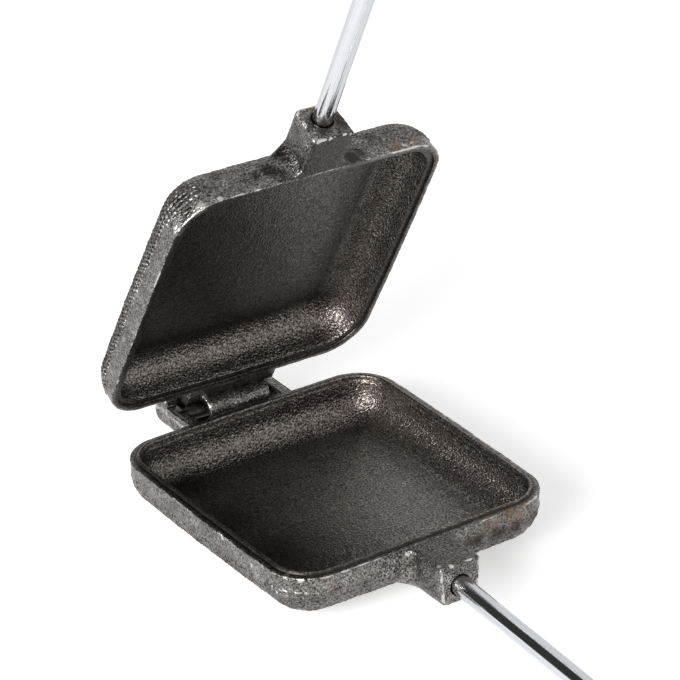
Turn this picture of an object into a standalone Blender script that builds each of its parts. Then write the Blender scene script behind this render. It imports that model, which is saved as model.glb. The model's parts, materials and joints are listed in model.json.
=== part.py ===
# A square camp pie iron, standing open on a table. Two cast-iron pans meet on a flat parting plane and
# turn on a steel pin at their rear. Each pan has a boss at its front that holds a long steel rod, and
# each rod ends in a turned wooden grip with a cross pin.
#
# All lengths are in metres. Each casting is modelled in its closed frame: X to the right as seen from
# the handle, Y from the handle to the hinge with zero at the rim's rear edge, Z up with zero on the
# parting plane. The lid is then turned open about the hinge, and the whole is set down level on Z zero.

import bmesh
import bpy
from math import asin, atan2, cos, hypot, pi, radians, sin, sqrt, tan
from mathutils import Matrix, Vector

# Clearances shared by pieces that fit together
FIT_GAP = 0.0003
PARTING_GAP = 0.0003
FLUSH_STEP = 0.00005
CUT_OVERRUN = 0.002

# Pans
PAN_WIDTH = 0.122
PAN_LENGTH = 0.128
PAN_DEPTH = 0.0206
PAN_FLOOR = 0.0042
PAN_CORNER_RADIUS = 0.017
PAN_CORNER_LEAST = 0.003
PAN_CORNER_SHARE = 0.9
PAN_SIDE_BOW = 0.00084
PAN_BOTTOM_RADIUS = 0.0155
PAN_DRAFT = radians(3)
PAN_EDGE_ROUND = 0.0005
CAVITY_BOTTOM_RADIUS = 0.0115
CAVITY_DRAFT = radians(5)

# Rim: the lower pan has a raised ridge, the lid a recess that drops over it
LEDGE_WIDTH = 0.0026
RIDGE_WIDTH = 0.0016
RIDGE_HEIGHT = 0.0009
RIDGE_ROUND = 0.0004
RIDGE_CLEARANCE = 0.0004

# Boss at the front of each pan, and the socket in it
BOSS_WIDTH = 0.018
BOSS_LENGTH = 0.0199
BOSS_HEIGHT = 0.0168
BOSS_DRAFT = radians(3.1)
BOSS_CORNER_ROUND = 0.002
BOSS_FILLET = 0.005
BOSS_ROOT = 0.002
SOCKET_DEPTH = 0.0180
SOCKET_MOUTH_DIAMETER = 0.0098
SOCKET_MOUTH_DEPTH = 0.0015

# Rods
ROD_DIAMETER = 0.00794
ROD_LENGTH = 0.500
ROD_AXIS_HEIGHT = 0.0097
ROD_SPREAD = radians(3.4)
ROD_CHAMFER = 0.0006

# Grips and their cross pins
GRIP_LENGTH = 0.130
GRIP_DIAMETER = 0.0254
GRIP_NECK_DIAMETER = 0.0215
GRIP_FRONT_DIAMETER = 0.0180
GRIP_FRONT_TAPER = 0.0050
GRIP_END_ROUND = 0.0070
GRIP_GROOVE_DEPTH = 0.0010
GRIP_GROOVE_WIDTH = 0.0024
GRIP_GROOVE_PLACE = 0.0280
GRIP_BORE_DEPTH = 0.0600
GRIP_PIN_DIAMETER = 0.0032
GRIP_PIN_PLACE = 0.0160

# Hinge: ears, pin and heel bar on the lower pan
HINGE_REACH = 0.00957
HINGE_DROP = 0.0028
HINGE_SHIFT = -0.0010
PIN_DIAMETER = 0.0048
PIN_SEAT = 0.0035
PIN_YAW = radians(1.6)
PIN_PITCH = radians(1.8)
EAR_GAP = 0.0382
EAR_THICKNESS = 0.0050
EAR_LENGTH = 0.0255
EAR_DEPTH = 0.0085
EAR_CORNER_RADIUS = 0.0042
EAR_ROOT = 0.0020
HEEL_PLACE = 0.0165
HEEL_HEIGHT = 0.0030
BAR_TOP_DEPTH = 0.0060
BAR_CLEARANCE = 0.0004
RIB_PLACE = 0.0216
RIB_TOP_DEPTH = 0.0008
BAR_ROOT = 0.0010
HINGE_EDGE_ROUND = 0.0005

# Hinge: lug and hooked knuckle on the lid
OPEN_ANGLE = radians(62.97)
LUG_PLAY = 0.0009
LUG_BASE_REACH = 0.0085
LUG_TOP_REACH = 0.0117
LUG_HEIGHT = 0.0085
LUG_ROOT = 0.0020
WING_WIDTH = 0.0038
WING_REACH = 0.0055
WING_HEIGHT = 0.0040
KNUCKLE_WIDTH = 0.0285
KNUCKLE_SHIFT = 0.0020
KNUCKLE_WALL = 0.0023
KNUCKLE_PLAY = 0.0009
KNUCKLE_FROM = radians(62)
KNUCKLE_TO = radians(255)

# How finely round shapes are divided
CORNER_STEPS = 8
SIDE_STEPS = 4
PROFILE_STEPS = 6
ROUND_SIDES = 32
PIN_SIDES = 20
KNUCKLE_STEPS = 14

LOWER = -1
UPPER = 1


def clear_scene():
    for obj in list(bpy.data.objects):
        bpy.data.objects.remove(obj, do_unlink=True)


def material(name, colour, roughness, metallic):
    made = bpy.data.materials.new(name)
    made.use_nodes = True
    shader = made.node_tree.nodes["Principled BSDF"]
    shader.inputs["Base Color"].default_value = (*colour, 1)
    shader.inputs["Roughness"].default_value = roughness
    shader.inputs["Metallic"].default_value = metallic
    return made


def mesh_object(name, bm, finish, smooth_below=None):
    """Turns a bmesh into an object whose faces point out."""
    bmesh.ops.recalc_face_normals(bm, faces=bm.faces[:])
    mesh = bpy.data.meshes.new(name)
    bm.to_mesh(mesh)
    bm.free()
    if smooth_below is not None:
        mesh.shade_smooth()
        mesh.set_sharp_from_angle(angle=smooth_below)
    obj = bpy.data.objects.new(name, mesh)
    bpy.context.scene.collection.objects.link(obj)
    if finish is not None:
        mesh.materials.append(finish)
    return obj


def loft(name, rings, finish=None, smooth_below=radians(40)):
    """A closed solid through rings of equally many points, with a flat cap on the first and the last."""
    bm = bmesh.new()
    loops = [[bm.verts.new(point) for point in ring] for ring in rings]
    for near, far in zip(loops, loops[1:]):
        for i, corner in enumerate(near):
            j = (i + 1) % len(near)
            bm.faces.new((corner, near[j], far[j], far[i]))
    bm.faces.new(loops[0])
    bm.faces.new(loops[-1])
    return mesh_object(name, bm, finish, smooth_below)


def prism(name, outline, low_x, high_x, edge_round=0, finish=None):
    """A side outline of (y, z) points carried from low_x to high_x, with its edges rounded."""
    obj = loft(name, [[Vector((x, y, z)) for y, z in outline] for x in (low_x, high_x)], finish, radians(30))
    if edge_round:
        bevel = obj.modifiers.new("edges", "BEVEL")
        bevel.width = edge_round
        bevel.segments = 2
        bevel.limit_method = "ANGLE"
        bevel.angle_limit = radians(50)
    return obj


def turned(name, profile, sides, finish=None, axis=Matrix()):
    """A turned piece along -Y from the origin of axis. The profile is (distance, radius) pairs."""
    angles = [2 * pi * k / sides for k in range(sides)]
    rings = [
        [axis @ Vector((radius * cos(a), -distance, radius * sin(a))) for a in angles]
        for distance, radius in profile
    ]
    return loft(name, rings, finish)


def boolean(obj, other, operation):
    """Joins or cuts obj with a helper that isn't rendered and moves with it."""
    other.parent = obj
    other.hide_render = True
    other.display_type = "WIRE"
    modifier = obj.modifiers.new(other.name, "BOOLEAN")
    modifier.operation = operation
    modifier.solver = "EXACT"
    modifier.object = other


def pan_ring(inset, height):
    """The pan's outline moved in by inset: round corners, and sides that bow out in their middle."""
    half_x = PAN_WIDTH / 2 - inset
    half_y = PAN_LENGTH / 2 - inset
    radius = max(PAN_CORNER_RADIUS - PAN_CORNER_SHARE * inset, PAN_CORNER_LEAST)
    points = []
    for quarter in range(4):
        for step in range(CORNER_STEPS + 1):
            a = (quarter + step / CORNER_STEPS) * pi / 2
            side_x = 1 if quarter in (0, 3) else -1
            side_y = 1 if quarter in (0, 1) else -1
            centre = Vector((side_x * (half_x - radius), side_y * (half_y - radius)))
            points.append(centre + radius * Vector((cos(a), sin(a))))
    ring = []
    for k, point in enumerate(points):
        ring.append(point)
        if k % (CORNER_STEPS + 1) == CORNER_STEPS:
            following = points[(k + 1) % len(points)]
            ring += [point.lerp(following, s / SIDE_STEPS) for s in range(1, SIDE_STEPS)]
    bowed = []
    for x, y in ring:
        bow_x = 1 - PAN_SIDE_BOW / half_x * (y / half_y) ** 2
        bow_y = 1 - PAN_SIDE_BOW / half_y * (x / half_x) ** 2
        bowed.append(Vector((x * bow_x, y * bow_y - PAN_LENGTH / 2, height)))
    return bowed


def bottom_arc(start_inset, draft, radius, depth):
    """(inset, depth) points of the fillet between a drafted wall and a flat floor, wall end first."""
    centre_depth = depth - radius
    centre_inset = start_inset + centre_depth * tan(draft) + radius / cos(draft)
    angles = [draft + (pi / 2 - draft) * k / PROFILE_STEPS for k in range(PROFILE_STEPS + 1)]
    return [(centre_inset - radius * cos(a), centre_depth + radius * sin(a)) for a in angles]


def outer_inset(depth):
    """How far the pan's outer wall lies inside its rim at this depth."""
    centre_depth = PAN_DEPTH - PAN_BOTTOM_RADIUS
    if depth < centre_depth + PAN_BOTTOM_RADIUS * sin(PAN_DRAFT):
        return depth * tan(PAN_DRAFT)
    centre_inset = centre_depth * tan(PAN_DRAFT) + PAN_BOTTOM_RADIUS / cos(PAN_DRAFT)
    return centre_inset - sqrt(max(PAN_BOTTOM_RADIUS**2 - (depth - centre_depth) ** 2, 0))


def pan(name, side, finish):
    """One pan as rings from its outer bottom, over the rim, to the cavity's floor."""
    face = PARTING_GAP / 2
    profile = list(reversed(bottom_arc(0, PAN_DRAFT, PAN_BOTTOM_RADIUS, PAN_DEPTH)))
    soft = PAN_EDGE_ROUND
    bend = soft * (1 - sqrt(1 / 2))
    profile += [(0, face + soft), (bend, face + bend), (soft, face)]
    inner_edge = LEDGE_WIDTH + RIDGE_WIDTH
    if side == LOWER:
        top = -RIDGE_HEIGHT
        turn = RIDGE_ROUND * (1 - sqrt(1 / 2))
        profile += [
            (LEDGE_WIDTH, face),
            (LEDGE_WIDTH, top + RIDGE_ROUND),
            (LEDGE_WIDTH + turn, top + turn),
            (LEDGE_WIDTH + RIDGE_ROUND, top),
            (inner_edge - RIDGE_ROUND, top),
            (inner_edge - turn, top + turn),
            (inner_edge, top + RIDGE_ROUND),
        ]
    else:
        inner_edge += RIDGE_CLEARANCE
        seat = RIDGE_HEIGHT + RIDGE_CLEARANCE
        profile += [
            (LEDGE_WIDTH - RIDGE_CLEARANCE, face),
            (LEDGE_WIDTH - RIDGE_CLEARANCE, seat),
            (inner_edge - RIDGE_ROUND, seat),
            (inner_edge, seat + RIDGE_ROUND),
        ]
    profile += bottom_arc(inner_edge, CAVITY_DRAFT, CAVITY_BOTTOM_RADIUS, PAN_DEPTH - PAN_FLOOR)
    return loft(name, [pan_ring(inset, side * depth) for inset, depth in profile], finish)


def boss_ring(side, distance, widening, inward):
    """A section of the boss in front of the rim. Inward is how far it follows the pan's curved wall."""
    top = PARTING_GAP / 2 + FLUSH_STEP
    soft = BOSS_CORNER_ROUND
    steps = PROFILE_STEPS // 2
    half_foot = BOSS_WIDTH / 2 - BOSS_HEIGHT * tan(BOSS_DRAFT) + widening
    corner = [
        (half_foot - soft + soft * cos(a), BOSS_HEIGHT - soft + soft * sin(a))
        for a in [pi / 2 * k / steps for k in range(steps + 1)]
    ]
    half = [(BOSS_WIDTH / 2 + widening, top)] + corner
    outline = half + [(-x, depth) for x, depth in reversed(half)]
    front = -PAN_LENGTH - distance
    return [Vector((x, front + inward * outer_inset(depth), side * depth)) for x, depth in outline]


def boss(name, side):
    """The block that holds the rod, with round fillets where it leaves the pan's wall."""
    rings = [boss_ring(side, -BOSS_ROOT, BOSS_FILLET, 1)]
    for k in range(PROFILE_STEPS + 1):
        a = pi / 2 * k / PROFILE_STEPS
        rings.append(boss_ring(side, BOSS_FILLET * (1 - cos(a)), BOSS_FILLET * (1 - sin(a)), 1 - sin(a)))
    rings.append(boss_ring(side, BOSS_LENGTH, 0, 0))
    return loft(name, rings)


def rod_axis(side):
    """Frame at the middle of the socket's mouth. Its -Y runs out along the rod."""
    mouth = Vector((0, -PAN_LENGTH - BOSS_LENGTH, side * ROD_AXIS_HEIGHT))
    return Matrix.Translation(mouth) @ Matrix.Rotation(-side * ROD_SPREAD, 4, "X")


def along(axis, distance):
    """The same frame moved inward along the rod."""
    return axis @ Matrix.Translation((0, distance, 0))


def socket_cutter(name, side):
    bore = ROD_DIAMETER / 2 + FIT_GAP
    mouth = SOCKET_MOUTH_DIAMETER / 2
    profile = [
        (0, bore),
        (SOCKET_DEPTH - SOCKET_MOUTH_DEPTH, bore),
        (SOCKET_DEPTH, mouth),
        (SOCKET_DEPTH + CUT_OVERRUN, mouth),
    ]
    return turned(name, profile, ROUND_SIDES, axis=along(rod_axis(side), SOCKET_DEPTH))


def hinge_frame():
    """Frame on the hinge's axis, whose X runs along the pin. The pin sits slightly askew in the casting."""
    return (
        Matrix.Translation((0, HINGE_REACH, -HINGE_DROP))
        @ Matrix.Rotation(-PIN_YAW, 4, "Z")
        @ Matrix.Rotation(PIN_PITCH, 4, "Y")
    )


def ear_edges(side_x):
    """Inner and outer X of one ear."""
    inner = EAR_GAP / 2
    return HINGE_SHIFT + side_x * inner, HINGE_SHIFT + side_x * (inner + EAR_THICKNESS)


def rear_corner(inset=0):
    """(y, z) points of the ears' rounded lower rear corner, or of one that lies inset within it."""
    soft = EAR_CORNER_RADIUS
    angles = [pi / 2 * k / PROFILE_STEPS for k in range(PROFILE_STEPS + 1)]
    reach = soft - inset
    return [(EAR_LENGTH - soft + reach * cos(a), soft - EAR_DEPTH - reach * sin(a)) for a in angles]


def ear(name, side_x):
    """A bracket behind the rear wall that holds one end of the pin, with a taller heel at its end."""
    top = -PARTING_GAP / 2 - FLUSH_STEP
    outline = [(-EAR_ROOT, top), (HEEL_PLACE, top), (HEEL_PLACE, HEEL_HEIGHT), (EAR_LENGTH, HEEL_HEIGHT)]
    outline += rear_corner() + [(-EAR_ROOT, -EAR_DEPTH)]
    return prism(name, outline, *sorted(ear_edges(side_x)), HINGE_EDGE_ROUND)


def knuckle_radius():
    return PIN_DIAMETER / 2 + KNUCKLE_PLAY + KNUCKLE_WALL


def heel_bar(name):
    """The bar that joins the ears: hollowed round the knuckle in front, raised to a rib at the rear."""
    hollow = knuckle_radius() + BAR_CLEARANCE
    start = -asin((EAR_DEPTH - FLUSH_STEP - HINGE_DROP) / hollow)
    end = asin((HINGE_DROP - BAR_TOP_DEPTH) / hollow)
    angles = [start + (end - start) * k / PROFILE_STEPS for k in range(PROFILE_STEPS + 1)]
    outline = [(HINGE_REACH + hollow * cos(a), hollow * sin(a) - HINGE_DROP) for a in angles]
    outline += [(RIB_PLACE, -BAR_TOP_DEPTH), (RIB_PLACE, -RIB_TOP_DEPTH), (EAR_LENGTH - FLUSH_STEP, -RIB_TOP_DEPTH)]
    outline += rear_corner(FLUSH_STEP)
    left, right = sorted(ear_edges(side_x)[0] + side_x * BAR_ROOT for side_x in (-1, 1))
    return prism(name, outline, left, right)


def pin_span(clearance):
    """Where the pin starts and ends along the hinge's X."""
    left, right = ear_edges(-1)[0], ear_edges(1)[0]
    return left - PIN_SEAT - clearance, right + PIN_SEAT + clearance


def pin_solid(name, clearance, finish=None):
    """The hinge pin, or with a clearance the hole that it sits in."""
    start, end = pin_span(clearance)
    radius = PIN_DIAMETER / 2 + clearance
    lay = hinge_frame() @ Matrix.Translation((end, 0, 0)) @ Matrix.Rotation(-pi / 2, 4, "Z")
    return turned(name, [(0, radius), (end - start, radius)], PIN_SIDES, finish, lay)


def lug_edges():
    """Left and right X of the lug, which passes between the ears."""
    half = EAR_GAP / 2 - LUG_PLAY
    return HINGE_SHIFT - half, HINGE_SHIFT + half


def lug(name):
    """The bracket on the lid's rear wall that carries the knuckle. Its back slopes."""
    foot = PARTING_GAP / 2 + FLUSH_STEP
    outline = [(-LUG_ROOT, foot), (LUG_BASE_REACH, foot), (LUG_TOP_REACH, LUG_HEIGHT), (-LUG_ROOT, LUG_HEIGHT)]
    return prism(name, outline, *lug_edges(), HINGE_EDGE_ROUND)


def lug_wing(name):
    """A low shoulder at the lug's right end, which lies over the ear when the lid is shut."""
    foot = PARTING_GAP / 2 + FLUSH_STEP
    outline = [(-LUG_ROOT, foot), (WING_REACH, foot), (WING_REACH, WING_HEIGHT), (-LUG_ROOT, WING_HEIGHT)]
    right = lug_edges()[1]
    return prism(name, outline, right - LUG_ROOT, right + WING_WIDTH, HINGE_EDGE_ROUND)


def knuckle(name):
    """The hook that reaches over the pin. It is open below and behind, so the lid lifts off."""
    bore = PIN_DIAMETER / 2 + KNUCKLE_PLAY
    outer = knuckle_radius()
    span = KNUCKLE_TO - KNUCKLE_FROM
    angles = [KNUCKLE_FROM + span * k / KNUCKLE_STEPS for k in range(KNUCKLE_STEPS + 1)]
    outline = [(HINGE_REACH + outer * cos(a), outer * sin(a) - HINGE_DROP) for a in angles]
    outline += [(HINGE_REACH + bore * cos(a), bore * sin(a) - HINGE_DROP) for a in reversed(angles)]
    half = KNUCKLE_WIDTH / 2
    return prism(name, outline, KNUCKLE_SHIFT - half, KNUCKLE_SHIFT + half, HINGE_EDGE_ROUND)


def lower_iron(finish):
    iron = pan("lower_iron", LOWER, finish)
    boolean(iron, boss("lower_boss", LOWER), "UNION")
    boolean(iron, ear("left_ear", -1), "UNION")
    boolean(iron, ear("right_ear", 1), "UNION")
    boolean(iron, heel_bar("heel_bar"), "UNION")
    boolean(iron, socket_cutter("lower_socket", LOWER), "DIFFERENCE")
    boolean(iron, pin_solid("pin_hole", FIT_GAP), "DIFFERENCE")
    return iron


def upper_iron(finish):
    iron = pan("upper_iron", UPPER, finish)
    boolean(iron, boss("upper_boss", UPPER), "UNION")
    boolean(iron, lug("lid_lug"), "UNION")
    boolean(iron, lug_wing("lid_wing"), "UNION")
    boolean(iron, knuckle("lid_knuckle"), "UNION")
    boolean(iron, socket_cutter("upper_socket", UPPER), "DIFFERENCE")
    return iron


def rod_start(side):
    """Frame at the rod's inner end, just off the socket's bottom."""
    return along(rod_axis(side), SOCKET_DEPTH - FIT_GAP)


def rod_reach():
    """How far the rod stands out of the boss."""
    return ROD_LENGTH - SOCKET_DEPTH + FIT_GAP


def grip_start(side):
    """Frame at the middle of the grip's front face."""
    return along(rod_axis(side), GRIP_BORE_DEPTH - FIT_GAP - rod_reach())


def grip_pin_solid(name, side, clearance, finish=None):
    """The pin across the grip and the rod, or with a clearance the hole that it sits in."""
    length = GRIP_NECK_DIAMETER + (2 * CUT_OVERRUN if clearance else 0)
    radius = GRIP_PIN_DIAMETER / 2 + clearance
    place = grip_start(side) @ Matrix.Translation((length / 2, -GRIP_PIN_PLACE, 0))
    lay = place @ Matrix.Rotation(-pi / 2, 4, "Z")
    return turned(name, [(0, radius), (length, radius)], PIN_SIDES, finish, lay)


def rod(name, side, finish):
    radius = ROD_DIAMETER / 2
    profile = [
        (0, radius - ROD_CHAMFER),
        (ROD_CHAMFER, radius),
        (ROD_LENGTH - ROD_CHAMFER, radius),
        (ROD_LENGTH, radius - ROD_CHAMFER),
    ]
    obj = turned(name, profile, ROUND_SIDES, finish, rod_start(side))
    boolean(obj, grip_pin_solid(name + "_pin_hole", side, FIT_GAP), "DIFFERENCE")
    return obj


def grip_profile():
    """(distance, radius) of the turned grip: tapered nose, one groove, swelling body, round end."""
    full = GRIP_DIAMETER / 2
    neck = GRIP_NECK_DIAMETER / 2
    groove = neck - GRIP_GROOVE_DEPTH
    body_start = GRIP_GROOVE_PLACE + GRIP_GROOVE_WIDTH / 2
    body_end = GRIP_LENGTH - GRIP_END_ROUND
    profile = [
        (0, GRIP_FRONT_DIAMETER / 2),
        (GRIP_FRONT_TAPER, neck),
        (GRIP_GROOVE_PLACE - GRIP_GROOVE_WIDTH / 2, neck),
        (GRIP_GROOVE_PLACE, groove),
    ]
    for k in range(PROFILE_STEPS + 1):
        share = k / PROFILE_STEPS
        swell = neck + (full - neck) * sin(share * pi / 2)
        profile.append((body_start + (body_end - body_start) * share, swell))
    for k in range(1, PROFILE_STEPS):
        a = pi / 2 * k / PROFILE_STEPS
        profile.append((body_end + GRIP_END_ROUND * sin(a), full - GRIP_END_ROUND * (1 - cos(a))))
    profile.append((GRIP_LENGTH, full - GRIP_END_ROUND))
    return profile


def grip(name, side, finish):
    obj = turned(name, grip_profile(), ROUND_SIDES, finish, grip_start(side))
    bore = [(0, ROD_DIAMETER / 2 + FIT_GAP), (GRIP_BORE_DEPTH + CUT_OVERRUN, ROD_DIAMETER / 2 + FIT_GAP)]
    bore_start = along(grip_start(side), CUT_OVERRUN)
    boolean(obj, turned(name + "_bore", bore, ROUND_SIDES, axis=bore_start), "DIFFERENCE")
    boolean(obj, grip_pin_solid(name + "_cross_hole", side, FIT_GAP), "DIFFERENCE")
    return obj


def rest_tilt():
    """The pitch at which the pan's rear bottom edge and the lower grip touch the table together."""
    arc_depth = PAN_DEPTH - PAN_BOTTOM_RADIUS
    arc_y = -arc_depth * tan(PAN_DRAFT) - PAN_BOTTOM_RADIUS / cos(PAN_DRAFT)
    grip_end = grip_start(LOWER) @ Vector((0, GRIP_END_ROUND - GRIP_LENGTH, 0))
    run = arc_y - grip_end.y
    rise = -arc_depth - grip_end.z
    return asin((PAN_BOTTOM_RADIUS - GRIP_DIAMETER / 2) / hypot(run, rise)) - atan2(rise, run)


def empty(name, parent=None):
    made = bpy.data.objects.new(name, None)
    bpy.context.scene.collection.objects.link(made)
    made.parent = parent
    return made


def set_down(base):
    """Moves the whole so that the middle of its underside is at the origin."""
    bpy.context.view_layer.update()
    graph = bpy.context.evaluated_depsgraph_get()
    corners = []
    for obj in bpy.context.scene.objects:
        if obj.type == "MESH" and not obj.hide_render:
            solid = obj.evaluated_get(graph)
            corners += [solid.matrix_world @ vertex.co for vertex in solid.data.vertices]
    low = [min(corner[axis] for corner in corners) for axis in range(3)]
    high = [max(corner[axis] for corner in corners) for axis in range(3)]
    base.location = (-(low[0] + high[0]) / 2, -(low[1] + high[1]) / 2, -low[2])


def build():
    clear_scene()
    iron = material("cast iron", (0.055, 0.050, 0.045), 0.6, 0.4)
    chrome = material("chrome-plated steel", (0.75, 0.75, 0.74), 0.12, 1)
    steel = material("plain steel", (0.45, 0.44, 0.42), 0.35, 1)
    wood = material("hardwood", (0.38, 0.20, 0.09), 0.5, 0)

    base = empty("base_frame")
    base.rotation_euler.x = rest_tilt()
    for piece in (
        lower_iron(iron),
        pin_solid("hinge_pin", 0, steel),
        rod("lower_rod", LOWER, chrome),
        grip("lower_grip", LOWER, wood),
        grip_pin_solid("lower_grip_pin", LOWER, 0, steel),
    ):
        piece.parent = base

    hinge_point = hinge_frame().translation
    hinge_axis = -hinge_frame().col[0].to_3d()
    lid_hinge = empty("lid_hinge", base)
    lid_hinge.location = hinge_point
    lid_hinge.rotation_euler = Matrix.Rotation(OPEN_ANGLE, 3, hinge_axis).to_euler()
    for piece in (
        upper_iron(iron),
        rod("upper_rod", UPPER, chrome),
        grip("upper_grip", UPPER, wood),
        grip_pin_solid("upper_grip_pin", UPPER, 0, steel),
    ):
        piece.parent = lid_hinge
        piece.location = -hinge_point

    set_down(base)


build()
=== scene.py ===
# A square camp pie iron standing open: two cast-iron pans on a hinge, each with a long plated rod
# and a turned wooden grip. Lengths are in metres. Each casting is worked out in its closed frame, X to
# the right, Y towards the hinge, Z up from the parting plane, and is then set where the CAD model has it.
import bpy
import numpy as np
from math import cos, pi, radians, sin, tan
from mathutils import Matrix, Vector
from mathutils.geometry import tessellate_polygon
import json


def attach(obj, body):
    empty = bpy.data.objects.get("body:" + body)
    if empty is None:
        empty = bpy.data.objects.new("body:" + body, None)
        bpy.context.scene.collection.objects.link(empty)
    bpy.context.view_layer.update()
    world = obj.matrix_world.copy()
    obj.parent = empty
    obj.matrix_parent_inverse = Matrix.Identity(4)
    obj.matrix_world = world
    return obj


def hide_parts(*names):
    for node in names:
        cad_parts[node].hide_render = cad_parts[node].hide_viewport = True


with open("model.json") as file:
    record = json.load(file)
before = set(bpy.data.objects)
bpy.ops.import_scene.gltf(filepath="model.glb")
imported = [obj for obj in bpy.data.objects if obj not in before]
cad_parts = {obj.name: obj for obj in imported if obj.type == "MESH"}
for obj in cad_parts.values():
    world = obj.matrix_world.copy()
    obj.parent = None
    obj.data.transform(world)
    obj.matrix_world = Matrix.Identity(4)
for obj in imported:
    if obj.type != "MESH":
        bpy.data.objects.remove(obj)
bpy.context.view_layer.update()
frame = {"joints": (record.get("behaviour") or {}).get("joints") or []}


# Lower pan: a square cast-iron dish with a flat bottom, drafted walls and round corners. Its rim has a
# plain ledge outside and a raised ridge inside, which the lid drops over. Sand-cast in one piece with
# the rod's boss and the hinge's ears, then only knocked clean, so burrs stay along the parting edge.
PAN_WIDTH, PAN_LENGTH, PAN_DEPTH, PAN_FLOOR = 0.122, 0.128, 0.0206, 0.0042
PAN_CORNER, PAN_CORNER_LEAST, PAN_CORNER_SHARE = 0.017, 0.003, 0.9
PAN_BOW, PAN_BOTTOM_RADIUS, PAN_DRAFT = 0.00084, 0.0155, radians(3)
BOTTOM_DOWN = PAN_DEPTH - PAN_BOTTOM_RADIUS
BOTTOM_IN = BOTTOM_DOWN * tan(PAN_DRAFT) + PAN_BOTTOM_RADIUS / cos(PAN_DRAFT)
CAVITY_RADIUS, CAVITY_DRAFT, PARTING = 0.0115, radians(5), 0.00015
LEDGE, RIDGE, RIDGE_HEIGHT, RIDGE_ROUND, RECESS_PLAY = 0.0026, 0.0016, 0.0009, 0.0004, 0.0004
EDGE_ROUND, WEAR_REACH, NICK_REACH, NICK_DEPTH, NICK_LENGTH = 0.00045, 0.00065, 0.0011, 0.00022, 0.0042
SKIN_WAVES, WALL_PLACE, WALL_REACH = ((0.00010, 0.024, 0), (0.00005, 0.0065, 2)), 0.003, 0.012
FLOOR_WAVE, FLOOR_REACH, OUTSIDE_ROWS = 0.6, 0.01, 34
SKIN_GRAIN, SKIN_DULL = (0.75, 0.35, 0.90, 0.45), (0.32, 0.36, 0.25, 0.28)
# Painted shade: the rim's groove is darkened, and on the lid also its rim and inner floor.
RIM_DEPTH, GROOVE_SHADE, GROOVE_REACH, LID_RIM_SHADE, LID_FLOOR_SHADE = 0.0015, 0.9, 0.00055, 0.60, 0.50
# Painted light: a pool of light on the lower pan's floor, a little right of its middle, and up its right
# inner wall. The skin there is made less metallic so that it takes up more of the lamps' light.
PAINTED_LIGHT_PLACE, PAINTED_LIGHT_REACH = (0.014, -0.069), 0.034
PAINTED_LIGHT_WALL, PAINTED_LIGHT_WALL_PLACE, PAINTED_LIGHT_WALL_FADE, PAINTED_LIGHT_WALL_DEPTH = 0.32, 0.044, 0.009, 0.0025
BASE_TURN, BASE_PLACE = radians(-2.88914), (-0.002348142, 0.337618083, 0.01979721)
base_place = np.array(Matrix.Translation(BASE_PLACE) @ Matrix.Rotation(BASE_TURN, 4, "X"))


def unit(vectors):
    """Each vector divided by its own length."""
    return vectors / np.maximum(np.linalg.norm(vectors, axis=-1, keepdims=True), 1e-12)


def arc(centre_in, centre_down, radius, start, end, steps):
    """Points of a round: centre + radius * (-cos, sin) of angles from start to end, as (inset, depth)."""
    a = np.linspace(start, end, steps)
    return np.column_stack([centre_in - radius * np.cos(a), centre_down + radius * np.sin(a)])


def pan_profile(lid):
    """The pan's section as (inset, depth) from its outer floor, over the rim, to the cavity's floor."""
    outer = arc(BOTTOM_IN, BOTTOM_DOWN, PAN_BOTTOM_RADIUS, pi / 2, PAN_DRAFT, 26)
    wall_depth = np.linspace(outer[-1, 1], PARTING + EDGE_ROUND, 8)[1:-1]
    wall = np.column_stack([wall_depth * tan(PAN_DRAFT), wall_depth])
    edge = arc(EDGE_ROUND, PARTING + EDGE_ROUND, EDGE_ROUND, 0, -pi / 2, 5)
    if lid:
        inner = LEDGE + RIDGE + RECESS_PLAY
        seat = RIDGE_HEIGHT + RECESS_PLAY
        out = LEDGE - RECESS_PLAY
        rim = np.array([
            (out - RIDGE_ROUND, PARTING), (out - 0.1 * RIDGE_ROUND, PARTING + 0.1 * RIDGE_ROUND),
            (out, PARTING + RIDGE_ROUND), (out, seat - 0.2 * RIDGE_ROUND), (out + 0.2 * RIDGE_ROUND, seat),
            (inner - 2 * RIDGE_ROUND, seat), (inner - 0.8 * RIDGE_ROUND, seat + 0.15 * RIDGE_ROUND),
            (inner - 0.15 * RIDGE_ROUND, seat + 0.8 * RIDGE_ROUND), (inner, seat + 2 * RIDGE_ROUND),
        ])
    else:
        inner = LEDGE + RIDGE
        half = RIDGE / 2
        crown = arc(LEDGE + half, half - RIDGE_HEIGHT, half, 0, -pi, 9)
        foot = np.array([
            (LEDGE - 0.8 * RIDGE_ROUND, PARTING), (LEDGE - 0.2 * RIDGE_ROUND, PARTING - 0.2 * RIDGE_ROUND),
        ])
        rim = np.vstack([foot, crown])
    low = PAN_DEPTH - PAN_FLOOR - CAVITY_RADIUS
    inward = inner + low * tan(CAVITY_DRAFT) + CAVITY_RADIUS / cos(CAVITY_DRAFT)
    cavity = arc(inward, low, CAVITY_RADIUS, CAVITY_DRAFT, pi / 2, 24)
    wall_depth = np.linspace(rim[-1, 1], cavity[0, 1], 6)[1:-1]
    inner_wall = np.column_stack([inner + wall_depth * tan(CAVITY_DRAFT), wall_depth])
    return np.vstack([outer, wall, edge, rim, inner_wall, cavity])


def square(inset):
    """The pan's corner radius and its half width and length at an inset."""
    radius = np.maximum(PAN_CORNER - PAN_CORNER_SHARE * inset, PAN_CORNER_LEAST)
    return radius, PAN_WIDTH / 2 - inset, PAN_LENGTH / 2 - inset


def bowed(x, y, half_x, half_y):
    """The pan's sides bow out by a square law towards their middles, so its corners lie further in."""
    return x * (1 - PAN_BOW / half_x * (y / half_y) ** 2), y * (1 - PAN_BOW / half_y * (x / half_x) ** 2)


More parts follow.
